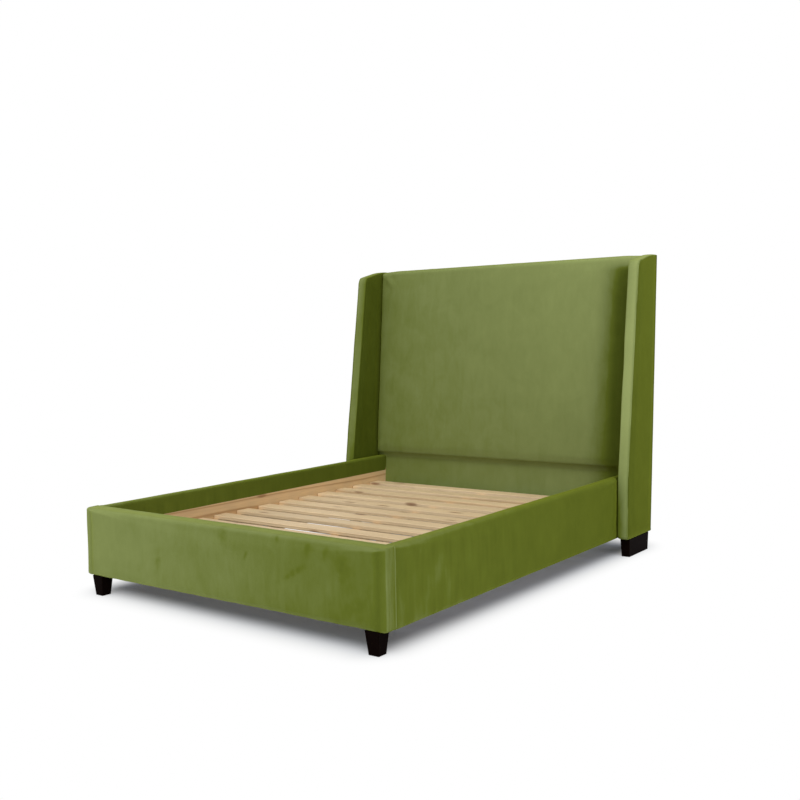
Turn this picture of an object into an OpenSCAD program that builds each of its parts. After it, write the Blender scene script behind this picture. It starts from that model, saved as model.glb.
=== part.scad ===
/* [Bed well] */
// Width of the well between the side rails
well_w = 1556; // [1000:1:2000]
// Length of the well from footboard to headboard, at the frame's underside
well_l = 2050; // [1900:1:2200]
// Height of the slats' tops above the floor
deck_z = 245; // [236:1:280]

/* [Side rails] */
// Height of the frame's underside above the floor
leg_h = 90; // [70:1:98]
// Height of the side rails' and the footboard's tops
rail_top = 392; // [360:1:450]
// Thickness of a side rail over its cover
rail_t = 52; // [46:1:70]
// Thickness of the pine board in a side rail
rail_core_t = 28; // [22:1:34]
// How far the foam bows out between a rail's edges
rail_bow = 2; // [0:0.5:4]

/* [Footboard] */
// Thickness of the footboard over its cover
foot_t = 70; // [62:1:90]
// Thickness of the board in the footboard
foot_core_t = 48; // [32:1:52]
// Radius of the footboard's outer corners, seen from above
foot_corner = 16; // [8:1:24]
// Radius of the footboard's lower corners, seen from the front
foot_low_corner = 12; // [4:1:16]

/* [Headboard] */
// Overall height of the headboard and its wings
head_h = 1510; // [1200:1:1600]
// Thickness of the headboard
head_t = 90; // [84:1:110]
// Lean of the headboard from upright, in degrees
recline = 5.1; // [0:0.1:8]
// Thickness of the foam pad at its edges
pad_t = 45; // [36:1:50]
// How far the pad's middle stands proud of its edges
pad_crown = 6; // [0:1:12]
// Radius of the pad's front edges
pad_round = 18; // [8:1:24]
// Gap between the side rails' tops and the pad
pad_clear = 12; // [4:1:30]
// Thickness of the plywood panel behind the pad
head_ply_t = 6; // [4:1:9]

/* [Headboard timber] */
// Width of each side stile
stile_w = 120; // [110:1:150]
// Width of the centre stile
centre_stile_w = 100; // [90:1:140]
// Height of the bottom rail of the headboard's frame
bottom_rail_w = 120; // [100:1:140]
// Height of the middle and top rails of the headboard's frame
cross_rail_w = 90; // [60:1:110]

/* [Wings] */
// Thickness of a wing over its cover
wing_t = 56; // [50:1:70]
// Gap between a side rail and the wing beside it
wing_gap = 3; // [1:0.5:10]
// Depth of a wing at its foot
wing_depth_low = 296; // [260:1:340]
// Depth of a wing at its top, before the top slopes down
wing_depth_top = 237; // [200:1:280]
// How far the wing's top slopes down at the front
wing_top_drop = 42; // [10:1:80]
// Length of the level stretch at the back of the wing's top
wing_top_flat = 75; // [50:1:120]
// Radius of the wing's upper front corner
wing_round = 25; // [5:1:35]
// Thickness of the plywood board in a wing
wing_core_t = 25; // [22:1:30]
// Width of the border round the windows in a wing's board
wing_border = 62; // [50:1:75]
// Number of windows in a wing's board
wing_windows = 3; // [2:1:4]

/* [Upholstery] */
// Thickness of the velvet cover with its backing
skin = 1.5; // [1:0.1:2]
// Thickness of the foam over the boards' edges
edge_foam = 12; // [6:1:20]
// Radius of the rails' and footboard's outer top edges
edge_round = 14; // [6:1:20]
// Radius of the rails' and footboard's inner top edges
inner_round = 7; // [4:1:12]
// Radius of the rails' and footboard's bottom edges
low_round = 5; // [3:1:8]
// Width of the cover that is turned under and stapled
turn_under = 25; // [15:1:35]
// Distance from the back lining's edge to the headboard's edge
lining_margin = 10; // [6:1:20]

/* [Slats] */
// Number of slats
slat_count = 13; // [9:1:14]
// Width of a slat
slat_w = 85; // [60:1:95]
// Thickness of a slat
slat_t = 18; // [16:1:22]
// Rounding of a slat's long edges
slat_round = 3; // [1:0.5:5]
// Gap between a slat's end and the side rail
slat_gap = 3; // [2:0.5:8]
// Distance from either end of the well to the nearest slat
slat_margin = 25; // [10:1:60]
// Width of the webbing under the slats
web_w = 30; // [20:1:40]
// Thickness of the webbing
web_t = 1.2; // [0.8:0.1:2]
// Distance from a side rail to the middle of the webbing beside it
web_inset = 350; // [150:1:400]

/* [Ledgers and centre beam] */
// Width of a ledger strip
ledger_w = 35; // [30:1:45]
// Height of a ledger strip
ledger_h = 40; // [34:1:46]
// Width of the centre beam
beam_w = 45; // [42:1:60]
// Height of the centre beam
beam_h = 60; // [50:1:70]
// Length of a beam shoe along the beam
shoe_l = 50; // [40:1:80]
// Thickness of the steel in a beam shoe
shoe_t = 3; // [2:0.5:4]
// Width of a beam shoe's back plate
shoe_w = 90; // [84:1:98]

/* [Centre legs] */
// Number of legs under the centre beam
centre_legs = 3; // [2:1:3]
// Width of a square centre leg
centre_leg_w = 45; // [40:1:56]
// Height of a centre leg's underside above the floor
centre_leg_lift = 24; // [24:1:30]
// Diameter of a levelling pad
pad_d = 40; // [32:1:60]
// Height of a levelling pad
level_pad_h = 12; // [11:1:13]
// Radius of the ball that carries a pad
ball_r = 6; // [5.5:0.1:6.5]

/* [Feet] */
// Width of a tapered leg at the floor
leg_low_w = 46; // [36:1:54]
// Width of a tapered leg at its top
leg_top_w = 64; // [50:1:76]
// Distance from the footboard's end to a tapered leg, at the floor
leg_inset_x = 45; // [30:1:120]
// Distance from the footboard's front to a tapered leg, at the floor
leg_inset_y = 12; // [9:1:18]
// Width of a wing's block foot at its top
block_w = 49; // [36:1:52]
// Distance from a wing's outer face to its block foot
block_inset_x = 4; // [2:1:8]
// Distance from a wing's front edge to its block foot
block_inset_front = 29; // [20:1:60]
// Distance from a wing's back edge to its block foot
block_inset_back = 29; // [10:1:60]
// How far each side of a block foot draws in from its top to the floor
block_taper = 4; // [1:0.5:6]
// Rounding of the legs' and block feet's upright edges
leg_round = 2; // [1:0.5:5]
// Thickness of a glide
glide_t = 2; // [1:0.5:4]
// Diameter of a glide
glide_d = 22; // [16:1:30]

/* [Brackets] */
// Height of a corner bracket
bracket_h = 70; // [60:1:72]
// Length of a corner bracket's arms
bracket_arm = 60; // [52:1:70]
// Thickness of a corner bracket
bracket_t = 4; // [3:0.5:5]
// Distance from the frame's underside to a corner bracket
bracket_low = 15; // [8:1:18]

/* [Fastenings] */
// Diameter of the bolts and threaded studs
bolt_d = 8; // [6:1:8]
// Outer diameter of a threaded insert
insert_d = 12; // [11:1:14]
// Length of a threaded insert
insert_l = 18; // [14:1:20]
// Diameter of the wood screws
screw_d = 4.5; // [3.5:0.5:5]
// Length of the wood screws
screw_l = 40; // [30:1:50]
// Number of screws along each ledger
ledger_screws = 7; // [4:1:8]
// Number of bolts that hold each wing
wing_bolt_count = 3; // [2:1:4]
// Free play round a bolt or screw in its hole
hole_play = 0.3; // [0.1:0.1:0.6]
// Free play round a thread in its nut
thread_play = 0.05; // [0.02:0.01:0.09]

/* [Hidden] */
$fn = 48;
left = -1;
right = 1;
over = 1;

// Widths, counted from the middle of the bed
x_rail_in = well_w / 2;
x_rail_out = x_rail_in + rail_t;
x_core_in = x_rail_in + skin;
x_wing_in = x_rail_out + wing_gap;
x_wing_out = x_wing_in + wing_t;

// Lengths, with the bed's middle at zero
lean_top = (head_h - leg_h) * tan(recline);
bed_l = foot_t + well_l + head_t / cos(recline) + lean_top;
y_front = -bed_l / 2;
y_well = y_front + foot_t;
y_head = y_well + well_l;

// Heights
rail_h = rail_top - leg_h;
ledger_top = deck_z - slat_t;
beam_low = ledger_top - beam_h;
core_low = leg_h + skin;
core_top = rail_top - skin - edge_foam;

// Depths and heights in the headboard's own leaning frame
function head_y(depth, z) = y_head + depth / cos(recline) + (z - leg_h) * tan(recline);
function head_v(depth, z) = (z - leg_h + depth * sin(recline)) / cos(recline);
head_low = head_v(head_t, leg_h);
head_top = (head_h - leg_h) / cos(recline);
pad_low = head_v(pad_t, rail_top + pad_clear);
apron_depth = pad_t - skin;
timber_front = pad_t + head_ply_t;
timber_back = head_t - 2 * skin;
timber_mid = (timber_front + timber_back) / 2;

// Bolts and screws
bolt_r = bolt_d / 2;
bolt_hole_r = bolt_r + hole_play;
insert_r = insert_d / 2;
insert_bore_r = bolt_r + thread_play;
bolt_head_h = 5.5;
bolt_head_r = 7.5;
washer_r = 9;
washer_t = 1.6;
tip_clear = 3;
screw_r = screw_d / 2;
screw_play = hole_play / 3;
screw_hole_r = screw_r + screw_play;
screw_head_r = screw_d;
screw_tip_r = 0.5;
recess_play = 1;
recess_r = washer_r + recess_play;

// Plain geometry
function unit(v) = v / norm(v);
function cross2(a, b) = a.x * b.y - a.y * b.x;
function meet(p, u, q, v) = p + u * cross2(q - p, v) / cross2(u, v);
function wrap(i, n) = (i + n) % n;

// A convex outline, anticlockwise, with edge i moved inwards by d[i]
function inset(pts, d) =
    let (n = len(pts))
    let (dir = [for (i = [0 : n - 1]) unit(pts[wrap(i + 1, n)] - pts[i])])
    let (at = [for (i = [0 : n - 1]) pts[i] + [-dir[i].y, dir[i].x] * d[i]])
    [for (i = [0 : n - 1]) meet(at[wrap(i - 1, n)], dir[wrap(i - 1, n)], at[i], dir[i])];

// The arc that rounds the corner at v, between its neighbours a and b
function corner(a, v, b, r, steps) =
    let (u = unit(a - v))
    let (w = unit(b - v))
    let (half = acos(u * w) / 2)
    let (mid = v + unit(u + w) * r / sin(half))
    let (p = v + u * r / tan(half) - mid)
    let (q = v + w * r / tan(half) - mid)
    let (start = atan2(p.y, p.x))
    let (turn = wrap(atan2(q.y, q.x) - start, 360))
    [for (k = [0 : steps]) mid + r * [cos(start + turn * k / steps), sin(start + turn * k / steps)]];

// A convex outline with corner i rounded to radius r[i]
function rounded(pts, r, steps = 6) =
    let (n = len(pts))
    [for (i = [0 : n - 1]) each
        r[i] <= 0 ? [pts[i]] : corner(pts[wrap(i - 1, n)], pts[i], pts[wrap(i + 1, n)], r[i], steps)];

function box_outline(lo, hi) = [lo, [hi.x, lo.y], hi, [lo.x, hi.y]];

// Solids along one axis, a plain slab and a mirrored side
module span_x(x0, x1) translate([x0, 0, 0]) rotate([90, 0, 90]) linear_extrude(x1 - x0) children();
module span_y(y0, y1) translate([0, y1, 0]) rotate([90, 0, 0]) linear_extrude(y1 - y0) children();
module span_z(z0, z1) translate([0, 0, z0]) linear_extrude(z1 - z0) children();
module slab(lo, hi) translate(lo) cube(hi - lo);
module on_side(side) mirror([side == left ? 1 : 0, 0, 0]) children();
module point_x() rotate([0, 90, 0]) children();
module point_front() rotate([90, 0, 0]) children();
module point_back() rotate([-90, 0, 0]) children();

// The headboard's own frame: x across, y into its depth, z up its face
module on_head() translate([0, y_head, leg_h]) rotate([-recline, 0, 0]) children();
module behind_head(depth) on_head() slab([-x_wing_out, depth, -head_h], [x_wing_out, head_h, 2 * head_h]);

// Fastenings, each drawn along +z from the face that its head bears on
module bolt(l) {
    translate([0, 0, -washer_t - bolt_head_h]) cylinder(r = bolt_head_r, h = bolt_head_h, $fn = 6);
    translate([0, 0, -washer_t]) cylinder(r = washer_r, h = washer_t);
    cylinder(r = bolt_r, h = l);
}

module threaded_insert() {
    difference() {
        cylinder(r = insert_r, h = insert_l);
        translate([0, 0, -over]) cylinder(r = insert_bore_r, h = insert_l + 2 * over);
    }
}

// A clear hole from the bolt's head to the far side of what it passes through
module through_hole(l) {
    translate([0, 0, -over]) cylinder(r = bolt_hole_r, h = l + 2 * over);
}

// A pocket for an insert that starts at a depth, with room for the bolt's tip
module insert_hole(start, bolt_l) {
    translate([0, 0, start]) cylinder(r = insert_r, h = insert_l);
    translate([0, 0, start]) cylinder(r = bolt_hole_r, h = bolt_l + tip_clear - start);
}

module wood_screw(l = screw_l) {
    cylinder(r1 = screw_head_r, r2 = screw_r, h = screw_r);
    cylinder(r = screw_r, h = l - screw_d);
    translate([0, 0, l - screw_d]) cylinder(r1 = screw_r, r2 = screw_tip_r, h = screw_d);
}

module wood_screw_hole(l = screw_l) {
    cylinder(r1 = screw_head_r + screw_play, r2 = screw_hole_r, h = screw_r);
    cylinder(r = screw_hole_r, h = l + tip_clear / 3);
}

// Where the fastenings sit
bracket_z = [leg_h + bracket_low + bracket_h / 4, leg_h + bracket_low + bracket_h * 3 / 4];
bracket_hole = bracket_arm * 0.6;
bracket_bolt_l = 25;
head_bolt_l = 34;
rail_end_y = head_y(apron_depth, leg_h + bracket_low);

module at_foot_bracket_bolts() {
    for (z = bracket_z)
        translate([x_core_in - bracket_hole, y_well + bracket_t, z]) point_front() children();
}
module at_rail_bolts_foot() {
    for (z = bracket_z)
        translate([x_core_in - bracket_t, y_well + bracket_hole, z]) point_x() children();
}
module at_rail_bolts_head() {
    for (z = bracket_z)
        translate([x_core_in - bracket_t, rail_end_y - bracket_hole, z]) point_x() children();
}
module at_head_bracket_bolts() {
    for (z = bracket_z) on_head()
        translate([x_core_in - bracket_hole, apron_depth - bracket_t, head_v(apron_depth, z)])
        point_back() children();
}

wing_bolt_recess = 20;
wing_bolt_x = x_wing_in - skin - stile_w + wing_bolt_recess;
wing_bolt_l = x_wing_in + wing_t / 2 - wing_core_t / 2 + insert_l - wing_bolt_x;
wing_bolt_first = 200;
wing_bolt_last = head_top - 170;
module at_wing_bolts() {
    for (i = [0 : wing_bolt_count - 1])
        on_head()
        translate([wing_bolt_x, timber_mid,
            wing_bolt_first + (wing_bolt_last - wing_bolt_first) * i / (wing_bolt_count - 1)])
        point_x() children();
}

shoe_screw_edge = 8;
shoe_screw_x = shoe_w / 2 - shoe_screw_edge;
shoe_screw_z = [beam_low + shoe_screw_edge, ledger_top - shoe_t - shoe_screw_edge];
shoe_screw_l = 30;
shoe_wrap = 0.8;
module at_shoe_screws_foot() {
    for (x = [-shoe_screw_x, shoe_screw_x], z = shoe_screw_z)
        translate([x, y_well + shoe_t, z]) point_front() children();
}
module at_shoe_screws_head() {
    for (x = [-shoe_screw_x, shoe_screw_x], z = shoe_screw_z)
        on_head() translate([x, apron_depth - shoe_t, head_v(apron_depth, z)]) point_back() children();
}

slat_pitch = (well_l - 2 * slat_margin - slat_w) / (slat_count - 1);
function slat_y(i) = y_well + slat_margin + slat_w / 2 + (i - 1) * slat_pitch;
slat_screw_x = x_core_in - ledger_w / 2;
module at_slat_screws(i) {
    for (side = [left, right])
        translate([side * slat_screw_x, slat_y(i), deck_z]) rotate([180, 0, 0]) children();
}

// Each ledger screw goes in midway between two slats
function ledger_screw_y(i) = slat_y(1.5 + round((slat_count - 2) * i / (ledger_screws - 1)));
module at_ledger_screws() {
    for (i = [0 : ledger_screws - 1])
        translate([x_core_in - ledger_w, ledger_screw_y(i), ledger_top - ledger_h / 2]) point_x() children();
}
screw_bite = 0.6;
ledger_screw_l = ledger_w + rail_core_t * screw_bite;

function centre_leg_y(i) = y_well + well_l * i / (centre_legs + 1);
leg_x = x_rail_out - leg_inset_x - leg_low_w / 2;
leg_y = y_front + leg_inset_y + leg_low_w / 2;
hanger_l = 70;
hanger_past = 7;
hanger_up = insert_l + hanger_past;
module at_hanger_bolts_foot() translate([leg_x, leg_y, leg_h + hanger_up - hanger_l]) children();
module at_hanger_bolt_centre(i) translate([0, centre_leg_y(i), beam_low + hanger_up - hanger_l]) children();

block_x1 = x_wing_out - block_inset_x;
block_x0 = block_x1 - block_w;
block_y0 = head_y(head_t, leg_h) - wing_depth_low + block_inset_front;
block_y1 = head_y(head_t, leg_h) - block_inset_back;
block_bolt_inset = 55;
block_recess = 40;
block_insert = leg_h - glide_t - block_recess + skin;
block_bolt_l = block_insert + insert_l;
wing_mid = x_wing_in + wing_t / 2;
module at_block_bolts() {
    for (y = [block_y0 + block_bolt_inset, block_y1 - block_bolt_inset])
        translate([wing_mid, y, glide_t + block_recess]) children();
}

// Headboard: a leaning timber frame, a plywood panel, a crowned pad and a velvet cover
module headboard_frame() {
    side_x = x_wing_in - skin;
    low = head_low + skin;
    high = head_top - skin;
    color("burlywood")
    difference() {
        on_head() {
            for (side = [left, right]) on_side(side)
                slab([side_x - stile_w, timber_front, low], [side_x, timber_back, high]);
            slab([-centre_stile_w / 2, timber_front, low], [centre_stile_w / 2, timber_back, high]);
            slab([-side_x, timber_front, low], [side_x, timber_back, low + bottom_rail_w]);
            slab([-side_x, timber_front, pad_low], [side_x, timber_back, pad_low + cross_rail_w]);
            slab([-side_x, timber_front, high - cross_rail_w], [side_x, timber_back, high]);
        }
        for (side = [left, right]) on_side(side) {
            at_head_bracket_bolts() insert_hole(bracket_t + skin + head_ply_t, head_bolt_l);
            at_wing_bolts() cylinder(r = bolt_hole_r, h = stile_w);
            at_wing_bolts()
                translate([0, 0, -wing_bolt_recess]) cylinder(r = recess_r, h = wing_bolt_recess);
        }
        at_shoe_screws_head() wood_screw_hole(shoe_screw_l);
    }
}

module headboard_panel() {
    side_x = x_wing_in - skin;
    color("tan")
    difference() {
        on_head() slab([-side_x, pad_t, head_low + skin], [side_x, timber_front, head_top - skin]);
        for (side = [left, right]) on_side(side)
            at_head_bracket_bolts() cylinder(r = bolt_hole_r, h = head_t);
        at_shoe_screws_head() wood_screw_hole(shoe_screw_l);
    }
}

// The pad is lofted through rounded rectangles, each drawn in by an inset and set at a depth
arc_steps = 4;
edge_steps = 5;
crown_steps = 5;
crown_share = 0.94;
pad_corner = 12;

function pad_ring(cut, d, depth) =
    let (hw = x_wing_in - cut - d)
    let (lo = pad_low + cut + d)
    let (hi = head_top - cut - d)
    let (r = min(pad_corner - cut + d / 2, (hi - lo) / 2 - 1))
    let (centres = [[hw - r, lo + r], [hw - r, hi - r], [r - hw, hi - r], [r - hw, lo + r]])
    [for (k = [0 : 3], i = [0 : arc_steps])
        let (a = 90 * (k - 1) + 90 * i / arc_steps)
        [centres[k].x + r * cos(a), depth, centres[k].y + r * sin(a)]];

function pad_face(d, reach) = -pad_crown * (1 - pow(1 - min(1, d / reach), 2));

function pad_rings(cut, back) =
    let (r = pad_round - cut)
    let (reach = (head_top - pad_low) / 2 - cut)
    concat(
        [pad_ring(cut, 0, back)],
        [for (k = [0 : edge_steps]) let (a = 90 * k / edge_steps) let (d = r * (1 - cos(a)))
            pad_ring(cut, d, cut + r * (1 - sin(a)) + pad_face(d, reach))],
        [for (k = [1 : crown_steps]) let (d = r + (reach * crown_share - r) * k / crown_steps)
            pad_ring(cut, d, cut + pad_face(d, reach))]);

module loft(rings) {
    n = len(rings[0]);
    m = len(rings);
    sides = [for (j = [0 : m - 2], i = [0 : n - 1]) each
        let (k = (i + 1) % n)
        [[j * n + i, (j + 1) * n + i, (j + 1) * n + k], [j * n + i, (j + 1) * n + k, j * n + k]]];
    first = [for (i = [1 : n - 2]) [0, i, i + 1]];
    last = [for (i = [1 : n - 2]) (m - 1) * n * [1, 1, 1] + [0, i + 1, i]];
    polyhedron([for (ring = rings) each ring], concat(first, sides, last));
}

module headboard_foam() {
    color("ivory") on_head() loft(pad_rings(skin, pad_t));
}

module headboard_cover() {
    out_x = x_wing_in;
    in_x = out_x - skin;
    back = head_t - skin;
    color("olivedrab")
    difference() {
        on_head() {
            loft(pad_rings(0, back));
            slab([-out_x, apron_depth, head_low], [out_x, back, head_top - pad_corner]);
        }
        on_head() {
            loft(pad_rings(skin, pad_t));
            slab([-in_x, pad_t, head_low + skin], [in_x, timber_back, head_top - skin]);
            slab([turn_under - in_x, pad_t, head_low + turn_under],
                [in_x - turn_under, head_t, head_top - turn_under]);
        }
        for (side = [left, right]) on_side(side) {
            at_wing_bolts() cylinder(r = bolt_hole_r, h = wing_bolt_l);
            at_head_bracket_bolts() cylinder(r = bolt_hole_r, h = head_t - pad_t);
        }
        at_shoe_screws_head() wood_screw_hole(shoe_screw_l);
    }
}

module headboard_lining() {
    edge_x = x_wing_in - lining_margin;
    color("dimgray")
    on_head()
        slab([-edge_x, head_t - skin, head_low + lining_margin], [edge_x, head_t, head_top - lining_margin]);
}

// Wings: a plywood board with windows, foam on both faces and a boxed velvet cover
wing_back_low = head_y(head_t, leg_h);
wing_back_top = head_y(head_t, head_h);
wing_front_low = wing_back_low - wing_depth_low;
wing_front_top = wing_back_top - wing_depth_top;
wing_lean = (wing_front_top - wing_front_low) / (head_h - leg_h);
function wing_front_y(z) = wing_front_low + wing_lean * (z - leg_h);
function wing_back_y(z) = head_y(head_t, z);
wing_outline = [
    [wing_front_low, leg_h],
    [wing_back_low, leg_h],
    [wing_back_top, head_h],
    [wing_back_top - wing_top_flat, head_h],
    [wing_front_y(head_h - wing_top_drop), head_h - wing_top_drop]
];
low_front_round = 4;
back_round = 3;
brow_round = 60;
wing_radii = [low_front_round, back_round, back_round, brow_round, wing_round];
wing_board_radii = [0, back_round - skin, 0, brow_round - skin - edge_foam, wing_round - skin - edge_foam];
wing_foam_t = (wing_t - wing_core_t) / 2 - skin;
wing_board = inset(wing_outline, [skin, skin, skin + edge_foam, skin + edge_foam, skin + edge_foam]);

module wing_shape(cut)
    polygon(rounded(inset(wing_outline, cut * [1, 1, 1, 1, 1]), [for (r = wing_radii) r - cut]));
module wing_board_shape() polygon(rounded(wing_board, wing_board_radii));

window_round = 20;
window_steps = 4;
module wing_window(i) {
    span = (head_h - wing_top_drop - leg_h - wing_border) / wing_windows;
    z0 = leg_h + wing_border + i * span;
    z1 = z0 + span - wing_border;
    polygon(rounded([
        [wing_front_y(z0) + wing_border, z0],
        [wing_back_y(z0) - wing_border, z0],
        [wing_back_y(z1) - wing_border, z1],
        [wing_front_y(z1) + wing_border, z1]
    ], window_round * [1, 1, 1, 1], window_steps));
}

module wing_frame(side) {
    color("burlywood")
    on_side(side)
    difference() {
        span_x(wing_mid - wing_core_t / 2, wing_mid + wing_core_t / 2)
        difference() {
            wing_board_shape();
            for (i = [0 : wing_windows - 1]) wing_window(i);
        }
        at_wing_bolts() insert_hole(wing_bolt_l - insert_l, wing_bolt_l);
        at_block_bolts() insert_hole(block_insert, block_bolt_l);
    }
}

module wing_foam(side) {
    color("ivory")
    on_side(side)
    difference() {
        span_x(x_wing_in + skin, x_wing_out - skin) wing_shape(skin);
        span_x(wing_mid - wing_core_t / 2, wing_mid + wing_core_t / 2) wing_board_shape();
        at_wing_bolts() cylinder(r = bolt_hole_r, h = wing_bolt_l);
    }
}

module wing_cover(side) {
    color("olivedrab")
    on_side(side)
    difference() {
        span_x(x_wing_in, x_wing_out) wing_shape(0);
        span_x(x_wing_in + skin, x_wing_out - skin) wing_shape(skin);
        at_wing_bolts() cylinder(r = bolt_hole_r, h = wing_bolt_l);
        at_block_bolts() cylinder(r = bolt_hole_r, h = block_bolt_l);
    }
}

// A leg that draws in from its top to the floor, with its upright edges rounded
module tapered_leg(lo, hi, taper) {
    top = hi - lo;
    low = top - 2 * taper * [1, 1];
    mid = (lo + hi) / 2;
    translate([mid.x, mid.y, glide_t])
        linear_extrude(leg_h - glide_t, scale = [top.x / low.x, top.y / low.y], slices = 1)
        polygon(rounded(box_outline(-low / 2, low / 2), leg_round * [1, 1, 1, 1], 3));
}

module wing_foot(side) {
    color("#2a1a14")
    on_side(side)
    difference() {
        tapered_leg([block_x0, block_y0], [block_x1, block_y1], block_taper);
        at_block_bolts() cylinder(r = bolt_hole_r, h = leg_h);
        at_block_bolts()
            translate([0, 0, -block_recess - over]) cylinder(r = recess_r, h = block_recess + over);
    }
}

// A padded bar seen from its end: u runs out from its inner face, with the outer face bowed
bow_steps = 6;
function bar_outline(t, bow, cut) =
    let (low = [t - bow - low_round, low_round])
    let (out = [t - bow - edge_round, rail_h - edge_round])
    let (in = [inner_round, rail_h - inner_round])
    concat(
        [[cut, cut]],
        [for (k = [0 : 3]) low + (low_round - cut) * [sin(30 * k), -cos(30 * k)]],
        [for (k = [1 : bow_steps - 1]) let (s = k / bow_steps)
            [t - bow - cut + 4 * bow * s * (1 - s), low.y + (out.y - low.y) * s]],
        [for (k = [0 : 6]) out + (edge_round - cut) * [cos(15 * k), sin(15 * k)]],
        [for (k = [0 : 4]) in + (inner_round - cut) * [-sin(22.5 * k), cos(22.5 * k)]]);

// Footboard: a thick board, foam on its front, top and ends, and a cover all round
foot_top_corner = 6;
module footboard_shape(cut) {
    half = x_rail_out - cut;
    low_r = min(foot_low_corner, edge_foam) - cut;
    top_r = foot_top_corner - cut;
    intersection() {
        translate([0, y_well, leg_h]) mirror([0, 1, 0])
            span_x(-half, half) polygon(bar_outline(foot_t, 0, cut));
        span_z(leg_h, rail_top)
            polygon(rounded(box_outline([-half, y_front + cut], [half, y_well - cut]),
                [foot_corner - cut, foot_corner - cut, inner_round / 2, inner_round / 2]));
        span_y(y_front, y_well)
            polygon(rounded(box_outline([-half, leg_h + cut], [half, rail_top - cut]),
                [low_r, low_r, top_r, top_r]));
    }
}

module footboard_board() {
    half = x_rail_out - skin - edge_foam;
    slab([-half, y_well - skin - foot_core_t, core_low], [half, y_well - skin, core_top]);
}

module footboard_core() {
    color("burlywood")
    difference() {
        footboard_board();
        for (side = [left, right]) on_side(side) {
            at_foot_bracket_bolts() insert_hole(bracket_t + skin, bracket_bolt_l);
            at_hanger_bolts_foot() insert_hole(hanger_l - hanger_up + skin, hanger_l);
        }
        at_shoe_screws_foot() wood_screw_hole(shoe_screw_l);
    }
}

module footboard_foam() {
    color("ivory")
    difference() {
        footboard_shape(skin);
        footboard_board();
    }
}

module footboard_cover() {
    color("olivedrab")
    difference() {
        footboard_shape(0);
        footboard_shape(skin);
        for (side = [left, right]) on_side(side) {
            at_foot_bracket_bolts() cylinder(r = bolt_hole_r, h = bracket_bolt_l);
            at_hanger_bolts_foot() cylinder(r = bolt_hole_r, h = hanger_l);
        }
        at_shoe_screws_foot() wood_screw_hole(shoe_screw_l);
    }
}

module foot_leg(side) {
    middle = [leg_x, leg_y];
    half = leg_top_w / 2 * [1, 1];
    color("#2a1a14")
    on_side(side)
    difference() {
        tapered_leg(middle - half, middle + half, (leg_top_w - leg_low_w) / 2);
        at_hanger_bolts_foot() cylinder(r = bolt_hole_r, h = hanger_l);
    }
}

// Side rails: a pine board with foam on its outer face and top, and a cover turned under it
module rail_length() {
    difference() {
        span_y(y_well, y_head + lean_top) children();
        behind_head(apron_depth);
    }
}

module rail_board_shape() {
    translate([x_core_in, core_low]) square([rail_core_t, core_top - core_low]);
}

module rail_core(side) {
    color("burlywood")
    on_side(side)
    difference() {
        rail_length() rail_board_shape();
        at_rail_bolts_foot() insert_hole(bracket_t, bracket_bolt_l);
        at_rail_bolts_head() insert_hole(bracket_t, bracket_bolt_l);
        at_ledger_screws() wood_screw_hole(ledger_screw_l);
    }
}

module rail_foam(side) {
    color("ivory")
    on_side(side) rail_length()
    difference() {
        translate([x_rail_in, leg_h]) polygon(bar_outline(rail_t, rail_bow, skin));
        rail_board_shape();
    }
}

// The cover is open where the board's inner face carries the ledger
module rail_cover(side) {
    color("olivedrab")
    on_side(side) rail_length()
    difference() {
        translate([x_rail_in, leg_h]) polygon(bar_outline(rail_t, rail_bow, 0));
        translate([x_rail_in, leg_h]) polygon(bar_outline(rail_t, rail_bow, skin));
        translate([x_rail_in, leg_h]) square([rail_t - turn_under, skin]);
        translate([x_rail_in, leg_h]) square([skin, ledger_top - leg_h]);
    }
}

module ledger(side) {
    color("wheat")
    on_side(side)
    difference() {
        slab([x_core_in - ledger_w, y_well + slat_gap, ledger_top - ledger_h],
            [x_core_in, head_y(apron_depth, ledger_top - ledger_h) - slat_gap, ledger_top]);
        at_ledger_screws() wood_screw_hole(ledger_screw_l);
        for (i = [1 : slat_count]) at_slat_screws(i) wood_screw_hole();
    }
}

// Centre beam, its steel shoes and its legs
module centre_beam() {
    color("burlywood")
    difference() {
        slab([-beam_w / 2, y_well + shoe_t + hole_play, beam_low],
            [beam_w / 2, head_y(apron_depth - shoe_t, beam_low) - slat_gap, ledger_top]);
        for (i = [1 : centre_legs])
            at_hanger_bolt_centre(i) insert_hole(hanger_l - hanger_up, hanger_l);
    }
}

module shoe_channel_shape() {
    out = beam_w / 2 + hole_play + shoe_t;
    translate([-out, beam_low - shoe_t]) square([2 * out, beam_h * shoe_wrap]);
}

module shoe_channel_hollow() {
    in = beam_w / 2 + hole_play;
    translate([-in, beam_low]) square([2 * in, beam_h]);
}

module beam_shoe_foot() {
    color("silver")
    difference() {
        union() {
            span_y(y_well, y_well + shoe_l) shoe_channel_shape();
            slab([-shoe_w / 2, y_well, beam_low - shoe_t],
                [shoe_w / 2, y_well + shoe_t, ledger_top - shoe_t]);
        }
        span_y(y_well + shoe_t, y_well + shoe_l + over) shoe_channel_hollow();
        at_shoe_screws_foot() wood_screw_hole(shoe_screw_l);
    }
}

module beam_shoe_head() {
    plate = apron_depth - shoe_t;
    start = head_y(plate, beam_low) - shoe_l;
    color("silver")
    difference() {
        union() {
            difference() {
                span_y(start, start + 2 * shoe_l) shoe_channel_shape();
                span_y(start - over, start + 2 * shoe_l + over) shoe_channel_hollow();
                behind_head(apron_depth);
            }
            on_head()
                slab([-shoe_w / 2, plate, head_v(apron_depth, beam_low - shoe_t)],
                    [shoe_w / 2, apron_depth, head_v(plate, ledger_top - shoe_t)]);
        }
        at_shoe_screws_head() wood_screw_hole(shoe_screw_l);
    }
}

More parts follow.
